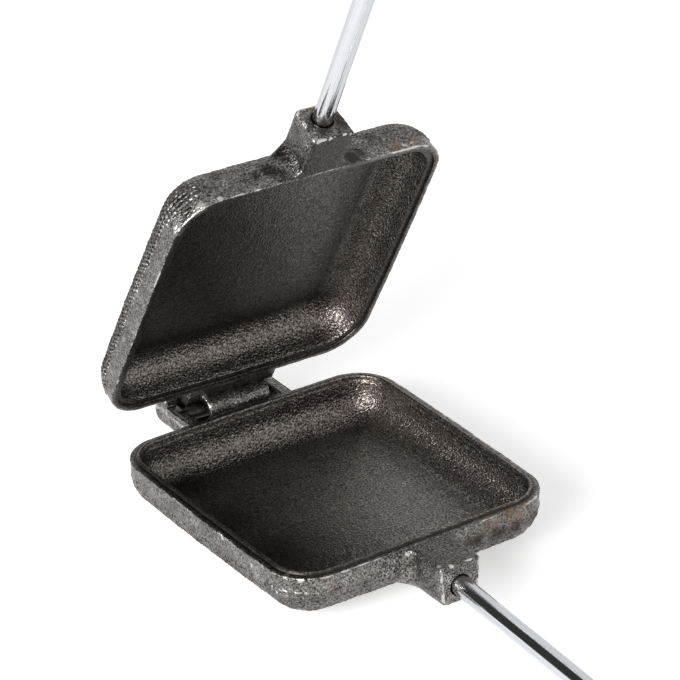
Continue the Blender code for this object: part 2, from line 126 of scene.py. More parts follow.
def pan_grid(profile, side, corner_steps=26, side_steps=72):
    """
    Rings of a square with round corners, one for each (inset, depth). A ring's point is
    sign * (half - radius) + direction * radius. Along a side the sign is blended from corner to corner.
    """
    turns = np.linspace(0, pi / 2, corner_steps)
    signs, directions = [], []
    corners = np.array([(1, 1), (-1, 1), (-1, -1), (1, -1)], float)
    for quarter in range(4):
        a = turns + quarter * pi / 2
        signs.append(np.repeat(corners[quarter][None], corner_steps, 0))
        directions.append(np.column_stack([np.cos(a), np.sin(a)]))
        share = np.linspace(0, 1, side_steps)[1:-1, None]
        signs.append(corners[quarter] * (1 - share) + corners[(quarter + 1) % 4] * share)
        directions.append(np.repeat(directions[-1][-1:], side_steps - 2, 0))
    sign, direction = np.vstack(signs), np.vstack(directions)
    inset, depth = profile[:, :1], profile[:, 1:]
    radius, half_x, half_y = square(inset)
    x = sign[:, 0] * (half_x - radius) + direction[:, 0] * radius
    y = sign[:, 1] * (half_y - radius) + direction[:, 1] * radius
    x, y = bowed(x, y, half_x, half_y)
    return np.stack([x, y - PAN_LENGTH / 2, side * depth + 0 * x], -1)


def floor_rings(ring, steps):
    """Rings of a flat floor: the ring shrunk towards its middle by even shares, outer one first."""
    middle = ring.mean(0)
    shares = np.linspace(1, 0, steps + 1)[1:-1, None, None]
    return middle + (ring[None] - middle) * shares


def closed_shell(grid, cap=None):
    """
    (points, quads, triangles) of a grid of rings closed by a point at the middle of each end ring, or
    by the triangles of cap, given for one ring. The signed volume, a third of the sum of each face's
    corner times its area vector, tells which way its faces point, and they are turned round where it
    is negative.
    """
    rows, count = grid.shape[:2]
    points = grid.reshape(-1, 3)
    if cap is None:
        points = np.vstack([points, grid[0].mean(0), grid[-1].mean(0)])
    index = np.arange(rows * count).reshape(rows, count)
    following = np.roll(index, -1, 1)
    quads = np.stack([index[:-1], following[:-1], following[1:], index[1:]], -1).reshape(-1, 4)
    if cap is None:
        first = np.column_stack([following[0], index[0], np.full(count, rows * count)])
        last = np.column_stack([index[-1], following[-1], np.full(count, rows * count + 1)])
    else:
        first, last = cap[:, ::-1], cap + (rows - 1) * count
    triangles = np.vstack([first, last])
    split = np.vstack([quads[:, [0, 1, 2]], quads[:, [0, 2, 3]], triangles])
    a, b, c = (points[split[:, k]] - points[0] for k in range(3))
    if np.einsum("ij,ij->i", a, np.cross(b, c)).sum() < 0:
        quads, triangles = quads[:, ::-1], triangles[:, ::-1]
    return points, quads, triangles


def unevenness(points, wavelength, seed):
    """Smooth unevenness from about -1 to 1: the sum of sixteen plane sine waves in seeded directions."""
    chance = np.random.default_rng(seed)
    directions = unit(chance.normal(size=(16, 3))) * (2 * pi / wavelength * chance.uniform(0.7, 1.4, (16, 1)))
    return np.sin(points @ directions.T + chance.uniform(0, 2 * pi, 16)).sum(1) / 4


def waviness(points, waves, seed):
    """The height of a cast surface: the sum of unevennesses, each (height, wavelength, step of the seed)."""
    return sum(height * unevenness(points, length, seed + step) for height, length, step in waves)


def rim_wear(points, inset, depth, seed):
    """Bare metal near the parting edge: it fades with distance from the edge and comes and goes along it."""
    near = np.exp(-np.hypot(inset - 0.3 * EDGE_ROUND, depth - PARTING) / WEAR_REACH)
    wide, small = unevenness(points * (1, 1, 0), 0.021, seed), unevenness(points, 0.006, seed + 1)
    return near * np.clip(0.5 + 0.5 * wide + 0.35 * small, 0.12, 1.2)


def pan_shell(lid, seed):
    """
    The whole pan as one closed shell with a slightly wavy cast surface, and the finish of each point:
    wear, cavity, grain, dull, soot_and_shade (with painted shade in the rim's groove and on the lid's rim
    and floor) and painted_light (a painted pool of light on the lower pan's floor and right inner wall).
    Level goes from 0 on the cavity's wall to 1 on its floor by share^2 * (3 - 2 * share).
    """
    profile = pan_profile(lid)
    grid = pan_grid(profile, 1 if lid else -1)
    rows, count = grid.shape[:2]
    flat = grid.reshape(-1, 3)
    inset, depth = (np.repeat(profile[:, k], count) for k in (0, 1))
    wave = waviness(flat, SKIN_WAVES, seed)
    near_rim = np.exp(-np.hypot(inset, depth - PARTING) / NICK_REACH)
    nick = near_rim * np.clip(unevenness(flat, NICK_LENGTH, seed + 3) - 0.35, 0, 1)
    outward = unit((flat + (0, PAN_LENGTH / 2, 0)) * (1, 1, 0))
    is_wall = np.exp(-((depth - WALL_PLACE) / WALL_REACH) ** 2)
    flat = flat + outward * (wave * is_wall - NICK_DEPTH * nick)[:, None]
    flat[:, 2] += FLOOR_WAVE * wave * np.exp(-((depth - PAN_DEPTH) / FLOOR_REACH) ** 2)
    grid = flat.reshape(rows, count, 3)
    outer, inner = floor_rings(grid[0], 9)[::-1], floor_rings(grid[-1], 15)
    points, quads, triangles = closed_shell(np.concatenate([outer, grid, inner]))
    inside = np.arange(len(inset)) > OUTSIDE_ROWS * count
    cavity = np.clip((inset - 2 * EDGE_ROUND) / EDGE_ROUND, 0, 1) * inside
    share = np.clip((inset - LEDGE - RIDGE - 0.5 * CAVITY_RADIUS) / (0.6 * CAVITY_RADIUS), 0, 1) * cavity
    level = share**2 * (3 - 2 * share)
    rim = (depth < 0.002) * cavity
    # Painted shade in the rim's groove; on the lid also over its rim and down to its floor.
    soot_and_shade = GROOVE_SHADE * np.exp(-((inset - LEDGE + 0.0001) / GROOVE_REACH) ** 2) * rim
    if lid:
        soot_and_shade = np.maximum(soot_and_shade, LID_RIM_SHADE * rim + LID_FLOOR_SHADE * level)

    def whole(outside, between, floor):
        """Values for all points: one for the outer floor, those of the profile's rings, one for the inner."""
        ends = np.full(len(outer) * count, outside), np.full(len(inner) * count, floor)
        return np.concatenate([ends[0], between, ends[1], [outside, floor]])

    def by_place(outside, on_rim, wall, floor):
        """A value for each place, blended from the cavity's wall to its floor by level."""
        values = np.where(cavity > 0, np.where(depth < RIM_DEPTH, on_rim, wall), outside)
        return whole(outside, values + (floor - wall) * level, floor)

    finish = whole(0, rim_wear(flat, inset, depth, seed), 0), whole(0, cavity, 1)
    finish += by_place(*SKIN_GRAIN), by_place(*SKIN_DULL), whole(0, soot_and_shade, LID_FLOOR_SHADE * lid)
    # Painted light: the pool of light on the lower pan's floor and right inner wall; none on the lid.
    away = np.linalg.norm(points[:, :2] - PAINTED_LIGHT_PLACE, axis=1)
    painted_light = whole(0, level, 1) * (not lid) * np.exp(-((away / PAINTED_LIGHT_REACH) ** 2))
    to_right = np.clip((points[:, 0] - PAINTED_LIGHT_WALL_PLACE) / PAINTED_LIGHT_WALL_FADE, 0, 1)
    painted_light_wall = PAINTED_LIGHT_WALL * finish[1] * (np.abs(points[:, 2]) > PAINTED_LIGHT_WALL_DEPTH) * to_right
    return points, quads, triangles, *finish, np.maximum(painted_light, painted_light_wall)


# Cast bumps: the outside is covered by small bumps, in straight rows over the flat bottom and up the
# round to a smooth band below the rim, fanning out round each corner. They come from the pattern.
BUMP_PITCH, BUMP_RADIUS, BUMP_STRETCH, BUMP_SINK, BUMP_SCATTER = 0.00225, 0.00090, 1.75, 0.00015, 0.00010
BUMP_BAND, BUMP_SIDE_BAND, BUMP_ROOM = 0.0058, 0.0085, 0.3 * BUMP_PITCH
BUMP_RING, BUMP_GRAIN, BUMP_DULL, LOWER_BUMP_DULL = 6, 0.4, 0.40, 0.48
PRESSED_BAND, PRESSED_SHARE = 0.0007, 0.85


def bump_places():
    """
    (places, normals) of the bumps. On the flat bottom they are a square grid. Up the round, rows lie a
    pitch apart along the arc: row k turns by k * pitch / radius, its straight parts carry on the grid's
    columns, and each corner carries as many as its own arc has room for.
    """
    straight_x, straight_y = PAN_WIDTH / 2 - BOTTOM_IN, PAN_LENGTH / 2 - BOTTOM_IN
    columns, lines = (BUMP_PITCH * (np.arange(int(half / BUMP_PITCH) * 2 + 1) - int(half / BUMP_PITCH))
                      for half in (straight_x + BUMP_ROOM, straight_y + BUMP_ROOM))
    grid_x, grid_y = (v.reshape(-1) for v in np.meshgrid(columns, lines))
    places = [np.column_stack([grid_x, grid_y, np.full(len(grid_x), PAN_DEPTH)])]
    normals = [np.tile((0.0, 0.0, 1.0), (len(grid_x), 1))]
    rows = int((pi / 2 - PAN_DRAFT) * PAN_BOTTOM_RADIUS / BUMP_PITCH)
    for row in range(1, rows + 1):
        lean = row * BUMP_PITCH / PAN_BOTTOM_RADIUS
        depth = BOTTOM_DOWN + PAN_BOTTOM_RADIUS * cos(lean)
        if depth < BUMP_BAND:
            break
        radius, half_x, half_y = square(BOTTOM_IN - PAN_BOTTOM_RADIUS * sin(lean))
        room_x, room_y = half_x - radius, half_y - radius
        x, y = columns[np.abs(columns) < room_x + BUMP_ROOM], lines[np.abs(lines) < room_y + BUMP_ROOM]
        count = max(int(round(radius * pi / 2 / BUMP_PITCH)), 1)
        turn = (np.arange(count) + 0.5) / count * pi / 2
        parts = [(x, half_y + 0 * x, 0 * x, 1 + 0 * x)]
        if depth > BUMP_SIDE_BAND:
            parts.append((half_x + 0 * y, y, 1 + 0 * y, 0 * y))
        straight = len(parts)
        for sign_x, sign_y in ((1, 1), (-1, 1), (-1, -1), (1, -1)):
            c, n = sign_x * np.cos(turn), sign_y * np.sin(turn)
            parts.append((sign_x * room_x + radius * c, sign_y * room_y + radius * n, c, n))
        for px, py, nx, ny in parts + [(-px, -py, -nx, -ny) for px, py, nx, ny in parts[:straight]]:
            places.append(np.column_stack([*bowed(px, py, half_x, half_y), np.full(len(px), depth)]))
            normals.append(np.column_stack([nx * sin(lean), ny * sin(lean), np.full(len(px), cos(lean))]))
    return np.vstack(places), np.vstack(normals)


def bump_field(side, seed, height):
    """
    A low dome at each place: a ring at its foot, one at two thirds of its width, a top, and a closed foot.
    Each is longer across the pan, so that those of a row run into one another. Where the pan rests on the
    table they are nearly flat.
    """
    place, normal = bump_places()
    chance = np.random.default_rng(seed)
    place = place + chance.normal(0, BUMP_SCATTER, place.shape) * (1, 1, 0) + (0, -PAN_LENGTH / 2, 0)
    across = unit(np.array((1.0, 0.0, 0.0)) - normal * normal[:, :1])
    along = np.cross(normal, across)
    size = chance.uniform(0.82, 1.12, (len(place), 1, 1))
    a = np.arange(BUMP_RING) * 2 * pi / BUMP_RING
    circle = across[:, None] * np.cos(a)[:, None] * BUMP_STRETCH + along[:, None] * np.sin(a)[:, None]
    foot = place[:, None] - normal[:, None] * BUMP_SINK + circle * (BUMP_RADIUS * size)
    if side < 0:
        size = size * (1 - PRESSED_SHARE * (place[:, 2] > PAN_DEPTH - PRESSED_BAND)[:, None, None])
    centre, up = place[:, None], normal[:, None]
    shoulder = centre + up * (0.68 * height * size) + circle * (0.62 * BUMP_RADIUS * size)
    points = np.concatenate([foot, shoulder, centre + up * (height * size), centre - up * (2 * BUMP_SINK)], 1)
    k = np.arange(BUMP_RING)
    n = (k + 1) % BUMP_RING
    quads = np.column_stack([k, n, n + BUMP_RING, k + BUMP_RING])
    caps = np.vstack([np.column_stack([k + BUMP_RING, n + BUMP_RING, k * 0 + 2 * BUMP_RING]),
                      np.column_stack([n, k, k * 0 + 2 * BUMP_RING + 1])])
    shift = (np.arange(len(place)) * points.shape[1])[:, None, None]
    quads, caps = (quads + shift).reshape(-1, 4), (caps + shift).reshape(-1, 3)
    corner = points[0]
    area = np.cross(corner[caps[0, 1]] - corner[caps[0, 0]], corner[caps[0, 2]] - corner[caps[0, 0]])
    if (area @ normal[0] < 0) != (side < 0):
        quads, caps = quads[:, ::-1], caps[:, ::-1]
    flat = points.reshape(-1, 3)
    plain = np.zeros(len(flat))
    dull = plain + (BUMP_DULL if side > 0 else LOWER_BUMP_DULL)
    return flat * (1, 1, side), quads, caps, plain, plain, plain + BUMP_GRAIN, dull


# Boss and rod socket: a squared block cast on the front of each pan, with full round fillets into its
# wall. Its face is drilled for the rod, a little wider at the mouth. The cast edges are soft and worn.
BOSS_WIDTH, BOSS_LENGTH, BOSS_HEIGHT, BOSS_DRAFT = 0.018, 0.0199, 0.0168, radians(3.1)
BOSS_FILLET, BOSS_ROOT, BOSS_SOFT, BOSS_FACE_SOFT, BOSS_TOP_SOFT = 0.005, 0.0019, 0.0020, 0.0007, 0.0005
BOSS_TOP_DARKENING, LOWER_TOP_DARKENING, BOSS_POINTS = 0.70, 0.35, 144
BOSS_WAVES = (0.00012, 0.011, 0), (0.00007, 0.003, 1)
ROD_HEIGHT, ROD_SPREAD, ROD_RADIUS = 0.0097, radians(3.4), 0.00397
SOCKET_DEPTH, SOCKET_MOUTH_RADIUS, SOCKET_MOUTH_DEPTH = 0.0180, 0.00435, 0.0015
SOCKET_PLAY, MOUTH_ROUND = 0.0003, 0.0003


def outer_inset(depth):
    """How far the pan's outside lies in from its rim at a depth: the draft, then the bottom's round."""
    fall = PAN_BOTTOM_RADIUS**2 - (depth - BOTTOM_DOWN) ** 2
    in_wall = depth < BOTTOM_DOWN + PAN_BOTTOM_RADIUS * sin(PAN_DRAFT)
    return np.where(in_wall, depth * tan(PAN_DRAFT), BOTTOM_IN - np.sqrt(np.maximum(fall, 0)))


def rounded(corners, radii, steps=10):
    """A polygon with each corner replaced by the arc of its radius that touches both sides."""
    corners = np.array(corners, float)
    before, after = np.roll(corners, 1, 0) - corners, np.roll(corners, -1, 0) - corners
    pieces = []
    for corner, b, a, radius in zip(corners, before, after, radii):
        if radius == 0:
            pieces.append(corner[None])
            continue
        b, a = unit(b), unit(a)
        half = np.arccos(np.clip(a @ b, -1, 1)) / 2
        start, end = corner + b * radius / np.tan(half), corner + a * radius / np.tan(half)
        middle = corner + unit(a + b) * radius / np.sin(half)
        share = np.linspace(0, 1, steps)[:, None]
        pieces.append(middle + unit(start * (1 - share) + end * share - middle) * radius)
    return np.vstack(pieces)


def filled_in(outline, spacing):
    """The closed outline with points added along its straight parts so that none is longer than spacing."""
    following = np.roll(outline, -1, 0)
    length = np.linalg.norm(following - outline, axis=1)
    path = np.concatenate([[0], np.cumsum(length)])
    counts = np.maximum(np.ceil(length / spacing).astype(int), 1)
    at = np.concatenate([path[k] + length[k] * np.arange(n) / n for k, n in enumerate(counts)])
    closed = np.vstack([outline, outline[:1]])
    return np.column_stack([np.interp(at, path, closed[:, k]) for k in (0, 1)])


def seen_from(outline, middle, angles):
    """The outline's points at these angles about middle, read off its distance as a function of angle."""
    away = filled_in(outline, 0.0002) - middle
    turn = np.arctan2(away[:, 1], away[:, 0])
    order = np.argsort(turn)
    distance = np.interp(angles, turn[order], np.linalg.norm(away, axis=1)[order], period=2 * pi)
    return middle + np.column_stack([np.cos(angles), np.sin(angles)]) * distance[:, None]


def boss_shell(side, seed):
    """
    Sections of the block from inside the pan's wall to its face, then across the face to the socket's
    mouth and down the socket. Fillet rings widen by fillet * (1 - sin a) while they move out by
    fillet * (1 - cos a), and near the wall they follow the pan's curved outside.
    """
    angles = np.linspace(-pi, pi, BOSS_POINTS, endpoint=False)
    middle = np.array((0, ROD_HEIGHT))

    def section(widening, shrink=0.0):
        """The block's tapered outline, wider by its fillet or drawn in by its face's round."""
        half_top = BOSS_WIDTH / 2 + widening - shrink
        half_foot = BOSS_WIDTH / 2 - BOSS_HEIGHT * tan(BOSS_DRAFT) + widening - shrink
        top, foot = 0.0002 + shrink * 0.6, BOSS_HEIGHT - shrink
        corners = [(-half_top, top), (half_top, top), (half_foot, foot), (-half_foot, foot)]
        soft = BOSS_TOP_SOFT, BOSS_TOP_SOFT, BOSS_SOFT, BOSS_SOFT
        return seen_from(rounded(corners, soft), middle, angles)

    rings, wear = [], []

    def add(shape, distance, inward, worn=0.0):
        """One more ring, this far from the pan's front, following its outside by a share of inward."""
        depth = shape[:, 1]
        y = -PAN_LENGTH - distance + inward * outer_inset(depth)
        rings.append(np.column_stack([shape[:, 0], y, depth]))
        top_edge = np.exp(-np.hypot(np.abs(shape[:, 0]) - BOSS_WIDTH / 2, depth) / 0.0007)
        wear.append(np.maximum(top_edge * 0.8, worn))

    add(section(BOSS_FILLET), -BOSS_ROOT, 1)
    for a in np.linspace(0, pi / 2, 14):
        add(section(BOSS_FILLET * (1 - sin(a))), BOSS_FILLET * (1 - cos(a)), 1 - sin(a))
    for distance in np.linspace(BOSS_FILLET, BOSS_LENGTH - BOSS_FACE_SOFT, 14)[1:]:
        add(section(0), distance, 0, 0.5 * np.exp(-(BOSS_LENGTH - distance) / 0.0012))
    for a in np.linspace(0, pi / 2, 6)[1:]:
        add(section(0, BOSS_FACE_SOFT * (1 - cos(a))), BOSS_LENGTH - BOSS_FACE_SOFT * (1 - sin(a)), 0, 0.9)
    face = section(0, BOSS_FACE_SOFT)
    circle = np.column_stack([np.cos(angles), np.sin(angles)])
    mouth = middle + circle * (SOCKET_MOUTH_RADIUS + MOUTH_ROUND)
    for share in np.linspace(0, 1, 9)[1:]:
        add(face * (1 - share) + mouth * share, BOSS_LENGTH, 0, 0.35 * (1 - share) + 0.5 * share**6)
    bore = ROD_RADIUS + SOCKET_PLAY
    for radius, inside in (
        (SOCKET_MOUTH_RADIUS, MOUTH_ROUND), (SOCKET_MOUTH_RADIUS, SOCKET_MOUTH_DEPTH),
        (bore, SOCKET_MOUTH_DEPTH + MOUTH_ROUND), (bore, SOCKET_DEPTH / 2), (bore, SOCKET_DEPTH),
    ):
        centre = middle + (0, -inside * tan(ROD_SPREAD))
        add(centre + circle * radius, BOSS_LENGTH - inside, 0)
    grid = np.array(rings)
    flat = grid.reshape(-1, 3)
    out = unit((flat + (0, PAN_LENGTH + BOSS_LENGTH / 2, -ROD_HEIGHT)) * (1, 0.3, 1))
    outside = (np.arange(len(rings)) < len(rings) - 6)[:, None] * (grid[:, :, 2] > 0.0012)
    flat = flat + out * (waviness(flat, BOSS_WAVES, seed) * outside.reshape(-1))[:, None]
    grid = flat.reshape(grid.shape) * (1, 1, side)
    points, quads, triangles = closed_shell(grid)
    patches = np.clip(0.55 + 0.5 * unevenness(flat, 0.005, seed + 2), 0.1, 1.2)
    wear = np.concatenate([np.concatenate(wear) * patches, [0, 0]])
    smooth = (np.abs(points[:, 2]) < 0.0009) * 1.0
    # The smooth top face at the parting plane is made darker, more on the lid.
    soot_and_shade = (BOSS_TOP_DARKENING if side > 0 else LOWER_TOP_DARKENING) * smooth
    return points, quads, triangles, wear, smooth, 0.8 - 0.4 * smooth, 0.30 + 0.06 * smooth, soot_and_shade


# Hinge ears and heel bar: two brackets cast behind the lower pan carry the pin. Each ends in a taller
# heel, and a low bar with a raised rear rib joins them behind the knuckle. Faces that would meet exactly
# are set a hair apart.
HINGE_REACH, HINGE_DROP, HINGE_SHIFT = 0.00957, 0.0028, -0.0010
EAR_GAP, EAR_THICKNESS, EAR_LENGTH, EAR_DEPTH = 0.0382, 0.0050, 0.0255, 0.0085
EAR_CORNER, EAR_ROOT, EAR_SOFT, HEEL_PLACE, HEEL_HEIGHT = 0.0042, 0.0020, 0.0010, 0.0165, 0.0030
BAR_TOP, BAR_PLAY, BAR_ROOT, BAR_LIP, RIB_PLACE, RIB_TOP = 0.0060, 0.0008, 0.0010, 0.0016, 0.0216, 0.0008
PIN_RADIUS, PIN_SEAT, KNUCKLE_PLAY, KNUCKLE_WALL = 0.0024, 0.0035, 0.0009, 0.0023
KNUCKLE_RADIUS, HAIR, SLAB_WAVES = PIN_RADIUS + KNUCKLE_PLAY + KNUCKLE_WALL, 0.00005, ((0.00007, 0.006, 0),)
SLAB_SPACING, SLAB_PITCH, SLAB_WEAR, SHADE_HIDES_WEAR = 0.0006, 0.0010, 0.8, 0.85


def slab_shell(outline, low_x, high_x, soft, seed, sooty_and_shaded=0.0):
    """
    A (y, z) outline carried from low_x to high_x. At each end the outline is drawn in along its own
    normals by soft * (1 - cos a) while it moves by soft * (1 - sin a), which rounds the end's edge.
    The ends are cut into triangles as they are, since an outline may be a hook or a step.
    """
    outline = filled_in(outline, SLAB_SPACING)
    along = np.roll(outline, -1, 0) - np.roll(outline, 1, 0)
    area = np.sum(outline[:, 0] * np.roll(outline[:, 1], -1) - np.roll(outline[:, 0], -1) * outline[:, 1])
    normal = unit(np.column_stack([-along[:, 1], along[:, 0]]) * np.sign(area))
    a = np.linspace(0, pi / 2, 6)
    start = [(low_x + soft * (1 - sin(t)), soft * (1 - sin(pi / 2 - t))) for t in a]
    count = max(int((high_x - low_x) / SLAB_PITCH), 4)
    body = [(x, 0.0) for x in np.linspace(low_x + soft, high_x - soft, count)[1:-1]]
    stations = sorted(start + body + [(low_x + high_x - x, inset) for x, inset in start])
    grid = np.array([np.insert(outline + normal * inset, 0, x, axis=1) for x, inset in stations])
    flat = grid.reshape(-1, 3)
    flat = flat + unit(flat - flat.mean(0)) * waviness(flat, SLAB_WAVES, seed)[:, None]
    cap = np.array(tessellate_polygon([np.insert(outline, 2, 0, axis=1).tolist()]))
    ab, ac = outline[cap[:, 1]] - outline[cap[:, 0]], outline[cap[:, 2]] - outline[cap[:, 0]]
    if np.sum(ab[:, 0] * ac[:, 1] - ab[:, 1] * ac[:, 0]) * area < 0:
        cap = cap[:, ::-1]
    points, quads, triangles = closed_shell(flat.reshape(grid.shape), cap)
    turn = np.abs(np.sum(normal * np.roll(normal, 3, 0), 1) - 1)
    edge = np.clip(turn * 2.5, 0, 1)
    edges = np.concatenate([np.maximum(edge, 0.9 * (inset > 0.2 * soft)) for _, inset in stations])
    patches = np.clip(0.35 + 0.6 * unevenness(flat, 0.004, seed + 1), 0, 1)
    # Painted shade: sooty_and_shaded gives the piece the darker inside skin, as for the bar, lug and knuckle
    # that lie in the dark between the ears, and hides its worn edges.
    wear = SLAB_WEAR * (1 - SHADE_HIDES_WEAR * sooty_and_shaded) * edges * patches
    return points, quads, triangles, wear, 0 * wear + sooty_and_shaded


def ear_shell(side_x, seed):
    """One ear: flat top at the parting plane, the heel behind it, and a rounded lower rear corner."""
    top = -PARTING - HAIR
    corners = [(-EAR_ROOT, top), (HEEL_PLACE, top), (HEEL_PLACE, HEEL_HEIGHT), (EAR_LENGTH, HEEL_HEIGHT),
               (EAR_LENGTH, -EAR_DEPTH), (-EAR_ROOT, -EAR_DEPTH)]
    outline = rounded(corners, (0.0002, 0.0006, 0.0008, 0.0012, EAR_CORNER, 0.0002))
    inner = HINGE_SHIFT + side_x * EAR_GAP / 2
    ends = sorted((inner, inner + side_x * EAR_THICKNESS))
    return slab_shell(outline, ends[0], ends[1], EAR_SOFT, seed)


def bar_shell(seed):
    """The bar behind the knuckle: its front is an arc about the pin, its rear rises to the rib."""
    hollow = KNUCKLE_RADIUS + BAR_PLAY
    bottom = EAR_DEPTH - HAIR
    low = -np.arcsin((bottom - HINGE_DROP) / hollow) - BAR_LIP / hollow
    a = np.linspace(low, np.arcsin((HINGE_DROP - BAR_TOP) / hollow), 14)
    front = np.column_stack([HINGE_REACH + hollow * np.cos(a), hollow * np.sin(a) - HINGE_DROP])
    back = EAR_LENGTH - HAIR
    corners = [(RIB_PLACE, -BAR_TOP), (RIB_PLACE, -RIB_TOP), (back, -RIB_TOP), (back, -bottom), front[0]]
    rear = rounded(corners, (0.0006, 0.0006, 0.0006, EAR_CORNER, 0), 6)
    left, right = HINGE_SHIFT - EAR_GAP / 2 - BAR_ROOT, HINGE_SHIFT + EAR_GAP / 2 + BAR_ROOT
    # Painted shade: the whole bar takes the darker inside skin.
    return slab_shell(np.vstack([front, rear[:-1]]), left, right, 0.0003, seed, 1.0)


# Seasoned cast iron: a dark grey-brown skin, sand-cast grain all over, bare metal and a little rust
# where edges have been knocked. Two effects, the grain and the wear, are groups with their own values.
IRON_INSIDE, IRON_INSIDE_PALE = (0.104, 0.092, 0.083), (0.130, 0.117, 0.107)
IRON_OUTSIDE, IRON_OUTSIDE_PALE = (0.100, 0.093, 0.085), (0.195, 0.187, 0.180)
# IRON_SOOT_AND_SHADE is the dark of soot and of painted shade in hollows, dents and the cavity's shaded side.
IRON_BARE, IRON_RUST, IRON_SOOT_AND_SHADE = (0.60, 0.58, 0.55), (0.185, 0.125, 0.085), (0.030, 0.026, 0.023)
SPECK_SHARE, RUST_SHARE, BARE_SHARE, BARE_POLISH, PAINTED_LIGHT_SHARE = 0.22, 0.50, 0.85, 0.08, 0.54
MOTTLE_PER_METRE, CLOUD_PER_METRE, TINT_PER_METRE = 130.0, 520.0, 210.0


def node_group(name, inputs, outputs):
    """A shader group with named sockets, each given as (name, kind, value), and its inner nodes."""
    group = bpy.data.node_groups.new(name, "ShaderNodeTree")
    for label, kind, value in inputs:
        socket = group.interface.new_socket(name=label, in_out="INPUT", socket_type=kind)
        if value is not None:
            socket.default_value = value
    for label, kind in outputs:
        group.interface.new_socket(name=label, in_out="OUTPUT", socket_type=kind)
    return group, group.nodes.new("NodeGroupInput"), group.nodes.new("NodeGroupOutput")


def fed(tree, node, inputs):
    """The node with its inputs given: a socket is linked, and anything else is its value."""
    for key, value in inputs.items():
        if isinstance(value, bpy.types.NodeSocket):
            tree.links.new(value, node.inputs[key])
        else:
            node.inputs[key].default_value = value
    return node


def placed(tree, kind, inputs=(), **settings):
    """A new node of this kind in the tree with these settings and inputs."""
    node = tree.nodes.new(kind)
    for key, value in settings.items():
        setattr(node, key, value)
    return fed(tree, node, dict(inputs))


def maths(tree, operation, first, second=0.0, third=0.0, clamp=False):
    """The result of one arithmetic node on values or links."""
    inputs = {0: first, 1: second, 2: third}
    return placed(tree, "ShaderNodeMath", inputs, operation=operation, use_clamp=clamp).outputs[0]


def times(tree, value, factor, plus=0.0, clamp=False):
    """value * factor + plus."""
    return maths(tree, "MULTIPLY_ADD", value, factor, plus, clamp)


def blended(tree, share, first, second):
    """Colour between first and second by share."""
    first, second = (v if isinstance(v, bpy.types.NodeSocket) else (*v, 1) for v in (first, second))
    return placed(tree, "ShaderNodeMix", {0: share, 6: first, 7: second}, data_type="RGBA").outputs[2]


def stepped(tree, value, low, high):
    """Zero below low, one above high, smooth between."""
    inputs = {"Value": value, "From Min": low, "From Max": high}
    return placed(tree, "ShaderNodeMapRange", inputs, interpolation_type="SMOOTHSTEP").outputs[0]


def noise(tree, vector, scale, detail=2.0, roughness=0.5):
    """Noise of this many features to a metre."""
    inputs = {"Vector": vector, "Scale": scale, "Detail": detail, "Roughness": roughness}
    return placed(tree, "ShaderNodeTexNoise", inputs).outputs[0]


def painted(tree, name, output="Fac"):
    """The attribute of this name that the piece's shells were given, point by point."""
    return placed(tree, "ShaderNodeAttribute", attribute_name=name).outputs[output]


def relief(tree, height, strength, distance):
    """The normal of fine relief of this height."""
    inputs = {"Height": height, "Strength": strength, "Distance": distance}
    return placed(tree, "ShaderNodeBump", inputs).outputs[0]


grain_group, grain_in, grain_out = node_group(
    "Cast grain",
    (("Position", "NodeSocketVector", None), ("Coarse per metre", "NodeSocketFloat", 900.0),
     ("Fine per metre", "NodeSocketFloat", 2100.0), ("Pitting", "NodeSocketFloat", 0.5)),
    (("Height", "NodeSocketFloat"), ("Speck", "NodeSocketFloat"), ("Grit", "NodeSocketFloat")))
grain_place, coarse_scale, fine_scale, pitting = (grain_in.outputs[k] for k in range(4))
coarse = noise(grain_group, grain_place, coarse_scale, 1.5, 0.55)
fine = noise(grain_group, grain_place, fine_scale, 1.0, 0.5)
cells = {"Vector": grain_place, "Scale": coarse_scale}
pits = placed(grain_group, "ShaderNodeTexVoronoi", cells, feature="SMOOTH_F1").outputs[0]
height = times(grain_group, pits, pitting, times(grain_group, fine, 0.45, coarse))
sparks = noise(grain_group, grain_place, times(grain_group, fine_scale, 0.8), 0.0)
fed(grain_group, grain_out, {
    "Height": height, "Speck": stepped(grain_group, sparks, 0.60, 0.74),
    "Grit": stepped(grain_group, fine, 0.34, 0.66)})

wear_group, wear_in, wear_out = node_group(
    "Edge wear",
    (("Position", "NodeSocketVector", None), ("Edge", "NodeSocketFloat", 0.0),
     ("Damp", "NodeSocketFloat", 0.0), ("Patches per metre", "NodeSocketFloat", 420.0)),
    (("Bare", "NodeSocketFloat"), ("Rust", "NodeSocketFloat")))
wear_place, edge, damp, patches = (wear_in.outputs[k] for k in range(4))
torn = noise(wear_group, wear_place, patches, 3.0, 0.6)
tint = noise(wear_group, wear_place, TINT_PER_METRE, 3.0, 0.6)
fed(wear_group, wear_out, {
    "Bare": stepped(wear_group, times(wear_group, torn, 0.9, edge), 0.92, 1.18),
    "Rust": stepped(wear_group, times(wear_group, damp, 0.8, tint), 0.66, 1.25)})


def new_material(name):
    """A material with its tree, its Principled shader and Object coordinates."""
    made = bpy.data.materials.new(name)
    made.use_nodes = True
    tree = made.node_tree
    position = tree.nodes.new("ShaderNodeTexCoord").outputs["Object"]
    return made, tree, tree.nodes["Principled BSDF"], position


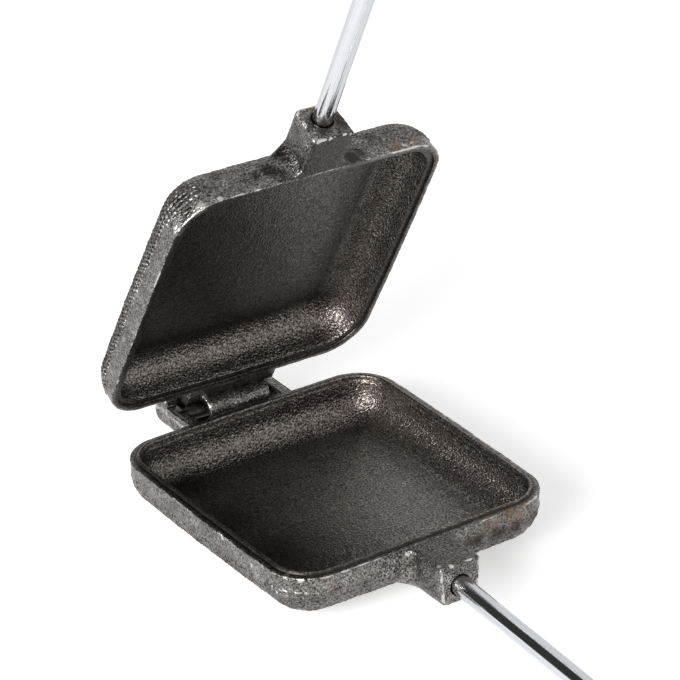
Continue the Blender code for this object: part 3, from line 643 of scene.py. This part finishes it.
def seasoned_iron(name, coarse_per_metre, bump_depth):
    """Dark mottled skin with sand grain, light specks on the grains' tops, soot and painted shade, painted
    light, and bare or rusty edges.
    """
    made, tree, shader, position = new_material(name)
    grain = placed(tree, "ShaderNodeGroup", node_tree=grain_group)
    grain = fed(tree, grain, {0: position, 1: coarse_per_metre, 2: 1.35 * coarse_per_metre}).outputs
    worn = placed(tree, "ShaderNodeGroup", node_tree=wear_group)
    worn = fed(tree, worn, {0: position, 1: painted(tree, "wear"), 2: painted(tree, "rust")}).outputs
    mottle = stepped(tree, noise(tree, position, MOTTLE_PER_METRE, 5.0, 0.65), 0.34, 0.68)
    outside = blended(tree, mottle, IRON_OUTSIDE, IRON_OUTSIDE_PALE)
    inside = blended(tree, mottle, IRON_INSIDE, IRON_INSIDE_PALE)
    # The inside skin also serves as painted shade on the hinge's bar, lug and knuckle.
    skin = blended(tree, painted(tree, "cavity"), outside, inside)
    shade = {0: skin, "Scale": times(tree, grain["Grit"], 1.35, 0.27)}
    skin = placed(tree, "ShaderNodeVectorMath", shade, operation="SCALE").outputs[0]
    skin = blended(tree, times(tree, grain["Speck"], SPECK_SHARE), skin, IRON_BARE)
    skin = blended(tree, times(tree, worn["Rust"], RUST_SHARE), skin, IRON_RUST)
    # Soot and painted shade, from the soot_and_shade attribute, broken up by clouds.
    cloud = noise(tree, position, CLOUD_PER_METRE, 3.0, 0.6)
    sooty_and_shaded = stepped(tree, times(tree, cloud, 0.8, painted(tree, "soot_and_shade")), 0.55, 1.35)
    skin = blended(tree, sooty_and_shaded, skin, IRON_SOOT_AND_SHADE)
    fed(tree, shader, {
        "Base Color": blended(tree, times(tree, worn["Bare"], BARE_SHARE), skin, IRON_BARE),
        "Roughness": times(tree, worn["Bare"], -BARE_POLISH, painted(tree, "dull")),
        # Painted light: less metallic where the pool of light is painted.
        "Metallic": times(tree, painted(tree, "painted_light"), -PAINTED_LIGHT_SHARE, 1.0),
        "Normal": relief(tree, times(tree, grain["Height"], painted(tree, "grain")), 1.0, bump_depth)})
    return made


def spotted(points, spots):
    """
    For each point the strongest of the spots, (x, y, z, radius) in millimetres and a strength:
    strength * exp(-(distance / radius)^2).
    """
    found = np.zeros(len(points))
    for *place, radius, strength in spots:
        away = np.linalg.norm(points * 1000 - place, axis=1) / radius
        found = np.maximum(found, strength * np.exp(-(away**2)))
    return found


def paint(mesh, name, values):
    """Writes an attribute point by point: a number, or a row of three, for each."""
    kind, field = ("FLOAT", "value") if values.ndim == 1 else ("FLOAT_VECTOR", "vector")
    mesh.attributes.new(name, kind, "POINT").data.foreach_set(field, values.astype(np.float32).reshape(-1))


def in_scene(name, data):
    """A new object with this data, in the scene."""
    made = bpy.data.objects.new(name, data)
    bpy.context.scene.collection.objects.link(made)
    return made


def piece(name, shells, place, material, body, worn=(), rusty=(), sooty_and_shaded=(), sharp=radians(50)):
    """
    One object from closed shells in a casting's frame, set in place, with its finish as attributes. A
    shell may leave out the last ones, which then take their usual values.
    """
    usual = {"wear": 0.0, "cavity": 0.0, "grain": 0.8, "dull": 0.30, "soot_and_shade": 0.0, "painted_light": 0.0}
    points, faces, finish, start = [], [], {label: [] for label in usual}, 0
    for shell in shells:
        points.append(shell[0])
        faces += (shell[1] + start).tolist() + (shell[2] + start).tolist()
        for k, (label, value) in enumerate(usual.items(), 3):
            finish[label].append(shell[k] if len(shell) > k else np.full(len(shell[0]), value))
        start += len(shell[0])
    points = np.vstack(points)
    finish = {label: np.concatenate(values) for label, values in finish.items()}
    finish["wear"] = np.maximum(finish["wear"], spotted(points, worn))
    finish["soot_and_shade"] = np.maximum(finish["soot_and_shade"], spotted(points, sooty_and_shaded))
    finish["rust"] = spotted(points, rusty)
    points = points @ place[:3, :3].T + place[:3, 3]
    mesh = bpy.data.meshes.new(name)
    mesh.from_pydata(points.tolist(), [], faces)
    for label, values in finish.items():
        paint(mesh, label, values)
    mesh.shade_smooth()
    mesh.set_sharp_from_angle(angle=sharp)
    mesh.materials.append(material)
    made = in_scene(name, mesh)
    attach(made, body)
    return made


iron = seasoned_iron("seasoned cast iron", 1050.0, 0.00042)
# Places of worn edges (some also painted highlight), rust, and soot with painted shade, in the casting's
# frame: (x, y, z, radius) in millimetres, strength.
LOWER_WORN = (
    (-60.7, -79.2, -1.1, 1.6, 1.0), (-60.4, -98.5, -4.1, 1.3, 1.0), (-60.4, -106.0, -1.2, 1.6, 0.8),
    (-59.2, -113.0, -0.6, 1.8, 0.9), (-57.7, -117.4, -0.3, 1.8, 1.0), (-54.7, -122.9, -0.5, 1.8, 0.9),
    (-8.0, -145.2, -0.3, 1.5, 0.9), (-4.0, -147.7, -0.4, 1.4, 0.9), (-15.3, -127.7, -3.5, 2.2, 0.6),
    (-9.5, -131.6, -6.1, 2.6, 0.55), (-11.0, -129.0, -2.0, 1.8, 0.7),
)
LOWER_RUST = (
    (19.2, -127.5, -6.0, 4.5, 0.5), (29.4, -127.6, -3.5, 7.5, 0.75), (40.2, -127.4, -3.3, 7.0, 0.9),
    (-45.0, -127.5, -3.0, 8.0, 0.5), (-30.0, -127.5, -4.0, 8.0, 0.35), (-56.0, -118.0, -5.0, 5.0, 0.45),
)
# Darker towards the bottom of the front and left walls and under the boss, and painted shade on the left of
# the cavity's floor and on its left inner wall, which the walls shade.
LOWER_SOOT_AND_SHADE = (
    (15.0, -127.9, -8.5, 5.0, 0.6), (22.7, -127.9, -8.5, 5.0, 0.8), (32.0, -127.7, -9.0, 5.5, 0.8),
    (41.0, -127.5, -8.5, 5.0, 0.7), (50.0, -125.0, -8.0, 5.5, 0.6), (-60.0, -96.0, -7.0, 3.5, 0.35),
    (-30.0, -127.6, -11.0, 6.0, 0.4), (-8.8, -133.0, -10.0, 5.0, 0.5), (-50.0, -126.0, -9.0, 5.0, 0.3),
    (-38.0, -80.0, -16.4, 20.0, 0.75), (-40.0, -48.0, -16.4, 17.0, 0.65), (-30.0, -106.0, -16.4, 18.0, 0.60),
    (-38.0, -17.0, -16.4, 16.0, 0.75), (-53.0, -80.0, -11.0, 12.0, 0.60), (-53.0, -42.0, -11.0, 11.0, 0.55),
)
lower_casting = piece("lower_casting", [
    pan_shell(False, 11), bump_field(-1, 21, 0.00034), boss_shell(-1, 31),
    ear_shell(-1, 41), ear_shell(1, 51), bar_shell(61),
], base_place, iron, "lower", LOWER_WORN, LOWER_RUST, LOWER_SOOT_AND_SHADE)
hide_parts("lower_iron")


# Lid: the same pan the other way up, with a recess in its rim for the ridge. Behind it a sloping lug
# carries the knuckle, a hook that reaches over the pin. It stands open about the pin's axis.
LUG_PLAY, LUG_FOOT, LUG_TOP, LUG_HEIGHT, LUG_ROOT = 0.0009, 0.0085, 0.0117, 0.0085, 0.0020
WING_WIDTH, WING_REACH, WING_HEIGHT = 0.0038, 0.0052, 0.0040
KNUCKLE_WIDTH, KNUCKLE_SHIFT, KNUCKLE_FROM, KNUCKLE_TO = 0.0285, 0.0020, radians(62), radians(255)
OPEN_ANGLE = radians(62.97)
hinge = frame["joints"][0]
hinge_place, hinge_axis = Vector(hinge["pos_m"]), Vector(hinge["axis"])
turned = Matrix.Rotation(OPEN_ANGLE, 4, hinge_axis)
open_turn = Matrix.Translation(hinge_place) @ turned @ Matrix.Translation(-hinge_place)
lid_place = np.array(open_turn) @ base_place


def lug_shell(seed):
    """The lug: a block between the ears whose back slopes outwards."""
    foot = PARTING + HAIR
    corners = [(-LUG_ROOT, foot), (LUG_FOOT, foot), (LUG_TOP, LUG_HEIGHT), (-LUG_ROOT, LUG_HEIGHT)]
    half = EAR_GAP / 2 - LUG_PLAY
    outline = rounded(corners, (0.0002, 0.0006, 0.0009, 0.0002))
    # Painted shade: the lug takes most of the darker inside skin.
    return slab_shell(outline, HINGE_SHIFT - half, HINGE_SHIFT + half, 0.0008, seed, 0.8)


def wing_shell(seed):
    """The low shoulder at the lug's right end."""
    foot = PARTING + HAIR
    corners = [(-LUG_ROOT, foot), (WING_REACH, foot), (WING_REACH, WING_HEIGHT), (-LUG_ROOT, WING_HEIGHT)]
    right = HINGE_SHIFT + EAR_GAP / 2 - LUG_PLAY
    outline = rounded(corners, (0.0002, 0.0006, 0.0010, 0.0002))
    return slab_shell(outline, right - LUG_ROOT, right + WING_WIDTH, 0.0006, seed)


def knuckle_shell(seed):
    """The hook: an arc of the pin's bore and one of its outside, joined at both ends."""
    a = np.linspace(KNUCKLE_FROM, KNUCKLE_TO, 40)
    centre = np.array((HINGE_REACH, -HINGE_DROP))
    circle = np.column_stack([np.cos(a), np.sin(a)])
    bore = circle[::-1] * (PIN_RADIUS + KNUCKLE_PLAY)
    outline = centre + np.vstack([circle * KNUCKLE_RADIUS, bore])
    left, right = KNUCKLE_SHIFT - KNUCKLE_WIDTH / 2, KNUCKLE_SHIFT + KNUCKLE_WIDTH / 2
    # Painted shade: the knuckle takes a little of the darker inside skin.
    return slab_shell(outline, left, right, 0.0005, seed, 0.3)


# Worn edges; the broad patches at the lid's front-left corner and the last two, on the knuckle's left end,
# are painted highlight as well as wear.
UPPER_WORN_AND_HIGHLIT = (
    (-58.5, -114.1, 1.0, 3.4, 0.85), (-52.5, -123.5, 1.0, 4.0, 0.95), (-43.9, -127.2, 0.8, 2.6, 0.7),
    (-57.0, -118.0, 2.4, 3.6, 0.6), (-50.0, -125.5, 2.4, 3.2, 0.55), (-7.4, -147.5, 0.3, 1.6, 1.0),
    (-2.0, -147.6, 0.3, 1.4, 0.8), (7.3, -147.1, 0.3, 1.5, 0.8), (40.0, -127.4, 2.2, 1.5, 0.9),
    (44.0, -127.2, 2.6, 1.2, 0.8), (-12.2, 5.0, -1.0, 2.4, 1.0), (-12.2, 4.0, -4.5, 2.0, 0.9),
)
UPPER_RUST = (
    (36.6, -127.5, 3.1, 3.0, 0.9), (46.1, -127.1, 3.2, 3.2, 0.8), (16.1, -127.8, 3.0, 5.0, 0.5),
)
# Painted shade in the dents beside the boss, at its root and on its left face; also darker patches on the
# front wall and at the lid's front-left corner.
UPPER_SOOT_AND_SHADE = (
    (-19.0, -127.3, 7.6, 4.5, 1.0), (-25.4, -127.3, 6.5, 3.5, 0.8), (-16.0, -129.0, 6.0, 3.5, 0.8),
    (16.0, -127.9, 3.0, 4.0, 1.2), (20.5, -127.9, 4.0, 4.0, 0.8), (28.9, -127.2, 9.4, 6.0, 0.6),
    (-56.0, -120.0, 11.0, 7.0, 0.6), (-60.5, -95.0, 12.0, 7.0, 0.35), (37.0, -127.0, 10.0, 6.0, 0.5),
    (44.0, -126.4, 10.8, 6.0, 0.5), (-8.8, -131.0, 11.4, 7.0, 0.75), (-8.5, -142.0, 11.8, 8.0, 0.60),
    (-2.0, -148.0, 8.0, 7.0, 0.9), (6.0, -148.0, 6.0, 6.0, 0.8), (-48.9, -126.2, 10.0, 5.0, 0.4),
    (-38.4, -127.5, 12.0, 6.0, 0.5),
)
upper_casting = piece("upper_casting", [
    pan_shell(True, 71), bump_field(1, 81, 0.00048), boss_shell(1, 91),
    lug_shell(101), wing_shell(106), knuckle_shell(111),
], lid_place, iron, "lid", UPPER_WORN_AND_HIGHLIT, UPPER_RUST, UPPER_SOOT_AND_SHADE)
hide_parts("upper_iron")


# Hinge pin: a short length of plain steel rod, driven into the ears, dulled by the fire.
PIN_YAW, PIN_PITCH, PIN_END = radians(1.6), radians(1.8), 0.0004
ACROSS = Matrix.Rotation(-pi / 2, 4, "Z")
STEEL_DARK, STEEL_PALE = (0.026, 0.024, 0.022), (0.075, 0.071, 0.067)
pin_turn = Matrix.Rotation(-PIN_YAW, 4, "Z") @ Matrix.Rotation(PIN_PITCH, 4, "Y")
hinge_frame = Matrix.Translation((0, HINGE_REACH, -HINGE_DROP)) @ pin_turn


def turned_shell(profile, sides=64, waver=0.0, seed=1):
    """A turned piece along -Y: each (distance, radius) is a circle, with a slight waver of its radius."""
    distance, radius = np.array(profile, float).T
    a = np.linspace(0, 2 * pi, sides, endpoint=False)
    radius = radius[:, None]
    grid = np.stack([radius * np.cos(a), 0 * a - distance[:, None], radius * np.sin(a)], -1)
    if waver:
        flat = grid.reshape(-1, 3)
        grid = (flat * (1 + waver * unevenness(flat, 0.03, seed)[:, None] * (1, 0, 1))).reshape(grid.shape)
    return closed_shell(grid)


def plain_steel(name):
    """Drawn steel gone dull: blue-grey with dark oxide clouds and fine marks."""
    made, tree, shader, position = new_material(name)
    cloud = noise(tree, position, 260.0, 4.0, 0.6)
    oxide = blended(tree, stepped(tree, cloud, 0.38, 0.66), STEEL_DARK, STEEL_PALE)
    marks = relief(tree, noise(tree, position, 2600.0, 2.0), 0.35, 0.00005)
    rough = times(tree, cloud, 0.35, 0.28)
    fed(tree, shader, {"Base Color": oxide, "Roughness": rough, "Metallic": 1.0, "Normal": marks})
    return made


def pin_profile(length, radius, end):
    """(distance, radius) of a pin whose ends are rounded off over a length of end."""
    a = np.linspace(0, pi / 2, 6)
    head = np.column_stack([end * (1 - np.sin(a)), radius - end * (1 - np.cos(a))])[::-1]
    body = np.column_stack([np.linspace(end, length - end, 12)[1:-1], np.full(10, radius)])
    return np.vstack([head, body, np.column_stack([length - head[::-1, 0], head[::-1, 1]])])


steel = plain_steel("plain steel")
pin_length = EAR_GAP + 2 * PIN_SEAT
pin_right = HINGE_SHIFT + pin_length / 2
pin_lay = hinge_frame @ Matrix.Translation((pin_right, 0, 0)) @ ACROSS
pin_shell = turned_shell(pin_profile(pin_length, PIN_RADIUS, PIN_END))
hinge_pin = piece("hinge_pin_steel", [pin_shell], base_place @ np.array(pin_lay), steel, "lower")
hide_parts("hinge_pin")


# Rods: straight bright-plated steel rod, set into the bosses. The plating shows faint drawing lines
# along the rod and dulls a little near the iron, where heat and soot reach it.
ROD_LENGTH, ROD_END, ROD_EVEN, SOOT_FADE, LINE_SHARE = 0.500, 0.0006, 0.004, 0.006, 1.2
CHROME_LIGHT, CHROME_STREAK, CHROME_DARK = (0.61, 0.62, 0.645), (0.41, 0.425, 0.46), (0.28, 0.27, 0.26)


def rod_lay(side):
    """The rod's inner end in the casting's frame: its -Y runs out along the rod."""
    mouth = Vector((0, -PAN_LENGTH - BOSS_LENGTH, side * ROD_HEIGHT))
    socket = Matrix.Translation(mouth) @ Matrix.Rotation(-side * ROD_SPREAD, 4, "X")
    return socket @ Matrix.Translation((0, SOCKET_DEPTH - SOCKET_PLAY, 0))


def rod_shell(seed):
    """The rod with chamfered ends. It wavers by a few thousandths of its radius, as drawn rod does."""
    even = np.linspace(ROD_EVEN, ROD_LENGTH - ROD_EVEN, 120)
    distance = np.concatenate([[0, ROD_END], even, [ROD_LENGTH - ROD_END, ROD_LENGTH]])
    radius = np.full(len(distance), ROD_RADIUS)
    radius[[0, -1]] -= ROD_END
    points, quads, triangles = turned_shell(np.column_stack([distance, radius]), 72, 0.002, seed)
    near_iron = np.exp(-np.maximum(-points[:, 1] - SOCKET_DEPTH, 0) / SOOT_FADE)
    return points, quads, triangles, near_iron


def bright_plating(name):
    """Chrome over drawn steel: a mirror with faint lines along the rod, sooty where wear is high."""
    made, tree, shader, position = new_material(name)
    drawn = noise(tree, painted(tree, "around", "Vector"), 9.0, 3.0, 0.6)
    haze = noise(tree, position, 60.0, 3.0, 0.6)
    specks = stepped(tree, noise(tree, position, 700.0, 3.0), 0.3, 0.7)
    soot_and_shade = times(tree, painted(tree, "wear"), specks, clamp=True)
    plate = blended(tree, stepped(tree, drawn, 0.45, 0.75), CHROME_LIGHT, CHROME_STREAK)
    fed(tree, shader, {
        "Base Color": blended(tree, soot_and_shade, plate, CHROME_DARK),
        "Roughness": times(tree, soot_and_shade, 0.3, times(tree, haze, 0.06, 0.045)),
        "Metallic": 1.0, "Normal": relief(tree, drawn, 0.25, 0.00005)})
    return made


plating = bright_plating("bright plating")
for name, side, place, body in (("lower_rod", -1, base_place, "lower"), ("upper_rod", 1, lid_place, "lid")):
    shell = rod_shell(121 + side)
    made = piece(name + "_plated", [shell], place @ np.array(rod_lay(side)), plating, body)
    # Around is the direction about the rod's own axis, with a share of the length along it.
    paint(made.data, "around", np.column_stack([unit(shell[0][:, [0, 2]]), LINE_SHARE * shell[0][:, 1]]))
    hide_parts(name)


# Grips: turned hardwood, lacquered, bored for the rod and held by a steel cross pin through both.
# One groove behind the nose marks where the pin sits, and the back end is rounded.
GRIP_LENGTH, GRIP_RADIUS, GRIP_NECK, GRIP_NOSE, GRIP_TAPER = 0.130, 0.0127, 0.01075, 0.0090, 0.0050
GRIP_END, GROOVE_DEEP, GROOVE_WIDE, GROOVE_AT = 0.0070, 0.0010, 0.0024, 0.0280
BORE_DEPTH, BORE_PLAY, CROSS_RADIUS, CROSS_AT = 0.0600, 0.0003, 0.0016, 0.0160
WOOD_LIGHT, WOOD_DARK, WOOD_PORE = (0.47, 0.25, 0.105), (0.20, 0.085, 0.030), (0.07, 0.03, 0.015)


def grip_shell():
    """The grip from the end of its bore, over the nose and the groove, a cosine dip, to the round end."""
    bore, soft = ROD_RADIUS + BORE_PLAY, 0.0004
    nose = [(BORE_DEPTH, bore), (BORE_DEPTH / 3, bore), (soft, bore),
            (0, bore + soft), (0, GRIP_NOSE - 0.0006), (0.0003, GRIP_NOSE)]

    def swell(start, end, low, high, shares):
        """Circles from start to end whose radius is low + (high - low) * sin(share * pi / 2)."""
        return [(start + (end - start) * s, low + (high - low) * sin(s * pi / 2)) for s in shares]

    start, end, back = GROOVE_AT - GROOVE_WIDE / 2, GROOVE_AT + GROOVE_WIDE / 2, GRIP_LENGTH - GRIP_END
    taper = swell(0, GRIP_TAPER, GRIP_NOSE, GRIP_NECK, np.linspace(0.15, 1, 8))
    neck = [(d, GRIP_NECK) for d in np.linspace(GRIP_TAPER, start, 10)[1:-1]]
    dip = [(start + GROOVE_WIDE * s, GRIP_NECK - GROOVE_DEEP * (1 - cos(2 * pi * s)) / 2)
           for s in np.linspace(0, 1, 13)]
    body = swell(end, back, GRIP_NECK, GRIP_RADIUS, np.linspace(0, 1, 40)[1:])
    dome = [(back + GRIP_END * sin(a), GRIP_RADIUS - GRIP_END * (1 - cos(a)))
            for a in np.linspace(0, pi / 2, 12)[1:]]
    return turned_shell(nose + taper + neck + dip + body + dome, 72, 0.003, 141)


def turned_wood(name):
    """Straight-grained hardwood: fine fibres along the piece, broad growth bands, and a satin lacquer."""
    made, tree, shader, position = new_material(name)
    own = painted(tree, "along", "Vector")
    bent = placed(tree, "ShaderNodeMapping", {"Vector": own, "Scale": (1, 0.06, 1)}).outputs[0]
    rings = {"Vector": bent, "Scale": 95.0, "Distortion": 6.0, "Detail": 3.0, "Detail Scale": 1.4}
    bands = placed(tree, "ShaderNodeTexWave", rings, wave_type="BANDS", bands_direction="X").outputs["Fac"]
    fibres = noise(tree, bent, 1500.0, 3.0, 0.6)
    pores = stepped(tree, noise(tree, bent, 2600.0, 1.0), 0.62, 0.72)
    wood = blended(tree, times(tree, bands, 0.55, times(tree, fibres, 0.4)), WOOD_LIGHT, WOOD_DARK)
    fed(tree, shader, {
        "Base Color": blended(tree, times(tree, pores, 0.6), wood, WOOD_PORE),
        "Roughness": times(tree, fibres, 0.25, 0.28), "Coat Weight": 0.35, "Coat Roughness": 0.22,
        "Normal": relief(tree, fibres, 0.3, 0.0001)})
    return made


def grip_lay(side):
    """The middle of the grip's nose: the rod's reach less the bore, measured from the socket's mouth."""
    reach = ROD_LENGTH - SOCKET_DEPTH + SOCKET_PLAY
    mouth = rod_lay(side) @ Matrix.Translation((0, SOCKET_PLAY - SOCKET_DEPTH, 0))
    return mouth @ Matrix.Translation((0, BORE_DEPTH - BORE_PLAY - reach, 0))


wood = turned_wood("turned hardwood")
for name, side, place, body in (("lower_grip", -1, base_place, "lower"), ("upper_grip", 1, lid_place, "lid")):
    shell = grip_shell()
    made = piece(name + "_turned", [shell], place @ np.array(grip_lay(side)), wood, body)
    paint(made.data, "along", shell[0] + (0.02 * side, 0, 0.003))
    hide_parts(name)
    cross_lay = grip_lay(side) @ Matrix.Translation((GRIP_NECK, -CROSS_AT, 0)) @ ACROSS
    cross_shell = turned_shell(pin_profile(2 * GRIP_NECK, CROSS_RADIUS, PIN_END), 40)
    cross = piece(name + "_cross_pin", [cross_shell], place @ np.array(cross_lay), steel, body)
    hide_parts(name + "_pin")


# Table: a plain pale sheet that stays white to the camera and to bright metal, and keeps the shadow.
# Far from the pans, where the lamps no longer reach it, it is plain white to the camera.
TABLE_REACH, TABLE_COLOUR, TABLE_LIFT, TABLE_LIT, TABLE_FAR = 6.0, 0.80, 0.50, 0.80, 1.40
PAN_MIDDLE = Vector((0.0, 0.29, 0.05))
reach = np.array([(-1, -1), (1, -1), (1, 1), (-1, 1)]) * TABLE_REACH
table_mesh = bpy.data.meshes.new("table")
table_mesh.from_pydata(np.column_stack([reach, np.zeros(4)]).tolist(), [], [(0, 1, 2, 3)])
table = in_scene("table", table_mesh)
table_paint, tree, shader, position = new_material("pale table")
fleck = noise(tree, position, 3.0, 3.0)
ray = tree.nodes.new("ShaderNodeLightPath").outputs
seen = maths(tree, "ADD", ray["Is Camera Ray"], ray["Is Glossy Ray"], clamp=True)
ends = {0: position, 1: PAN_MIDDLE}
away = placed(tree, "ShaderNodeVectorMath", ends, operation="DISTANCE").outputs["Value"]
far = times(tree, stepped(tree, away, TABLE_LIT, TABLE_FAR), ray["Is Camera Ray"])
fed(tree, shader, {
    "Base Color": blended(tree, fleck, (TABLE_COLOUR,) * 3, (TABLE_COLOUR + 0.03,) * 3),
    "Roughness": 0.9, "Specular IOR Level": 0.1, "Emission Color": (1, 1, 1, 1),
    "Emission Strength": maths(tree, "MAXIMUM", times(tree, seen, TABLE_LIFT), far)})
table_mesh.materials.append(table_paint)


# Studio: soft light all round, one main lamp low at the left front, a small one at the left and a weak
# one at the right front. A dark card at the back left gives bright metal its dark stripe.
WORLD_LIGHT, DARK_CARD, CARD_SHARE = 0.45, (-0.490, 0.734, 0.473), 0.95
world = bpy.data.worlds.new("studio")
bpy.context.scene.world = world
world.use_nodes = True
tree = world.node_tree
ray = tree.nodes.new("ShaderNodeLightPath").outputs
bright = maths(tree, "ADD", ray["Is Glossy Ray"], ray["Is Transmission Ray"])
seen = maths(tree, "ADD", ray["Is Camera Ray"], bright, clamp=True)
toward = tree.nodes.new("ShaderNodeTexCoord").outputs["Generated"]
sides = {0: toward, 1: DARK_CARD}
facing = placed(tree, "ShaderNodeVectorMath", sides, operation="DOT_PRODUCT").outputs["Value"]
hidden = maths(tree, "SUBTRACT", 1.0, ray["Is Camera Ray"])
card = times(tree, stepped(tree, facing, 0.80, 0.90), hidden)
shown = times(tree, seen, times(tree, card, -CARD_SHARE, 1.0))
plain = maths(tree, "SUBTRACT", 1.0, seen)
fed(tree, tree.nodes["Background"], {
    "Color": (1, 1, 1, 1), "Strength": times(tree, plain, WORLD_LIGHT, shown)})
for name, offset, size, power in (
    ("main lamp", (-1.18, -0.55, 0.52), 0.72, 25.0),
    ("left lamp", (-1.34, 0.36, 0.20), 0.42, 5.2),
    ("right lamp", (0.80, -1.20, 0.42), 1.00, 1.2),
):
    lamp = bpy.data.lights.new(name, "AREA")
    lamp.shape = "SQUARE"
    lamp.size = size
    lamp.energy = power
    light = in_scene(name, lamp)
    light.location = PAN_MIDDLE + Vector(offset)
    light.rotation_euler = Vector(offset).to_track_quat("Z", "Y").to_euler()


# Camera: the photograph's viewpoint, from the front left and above, through a long lens. The picture
# is shown as it is rendered, without a film look.
CAMERA_PLACE, CAMERA_TURN = (-0.86463, -0.980047, 0.980826), (59.42073, -0.640257, -34.209339)
CAMERA_LENS, CAMERA_SENSOR, CAMERA_FAR = 247.53, 36.0, 30.0
camera_data = bpy.data.cameras.new("camera")
camera_data.sensor_width = CAMERA_SENSOR
camera_data.lens = CAMERA_LENS
camera_data.clip_end = CAMERA_FAR
camera = in_scene("camera", camera_data)
camera.location = CAMERA_PLACE
camera.rotation_euler = [radians(v) for v in CAMERA_TURN]
bpy.context.scene.camera = camera
bpy.context.scene.view_settings.view_transform = "Standard"
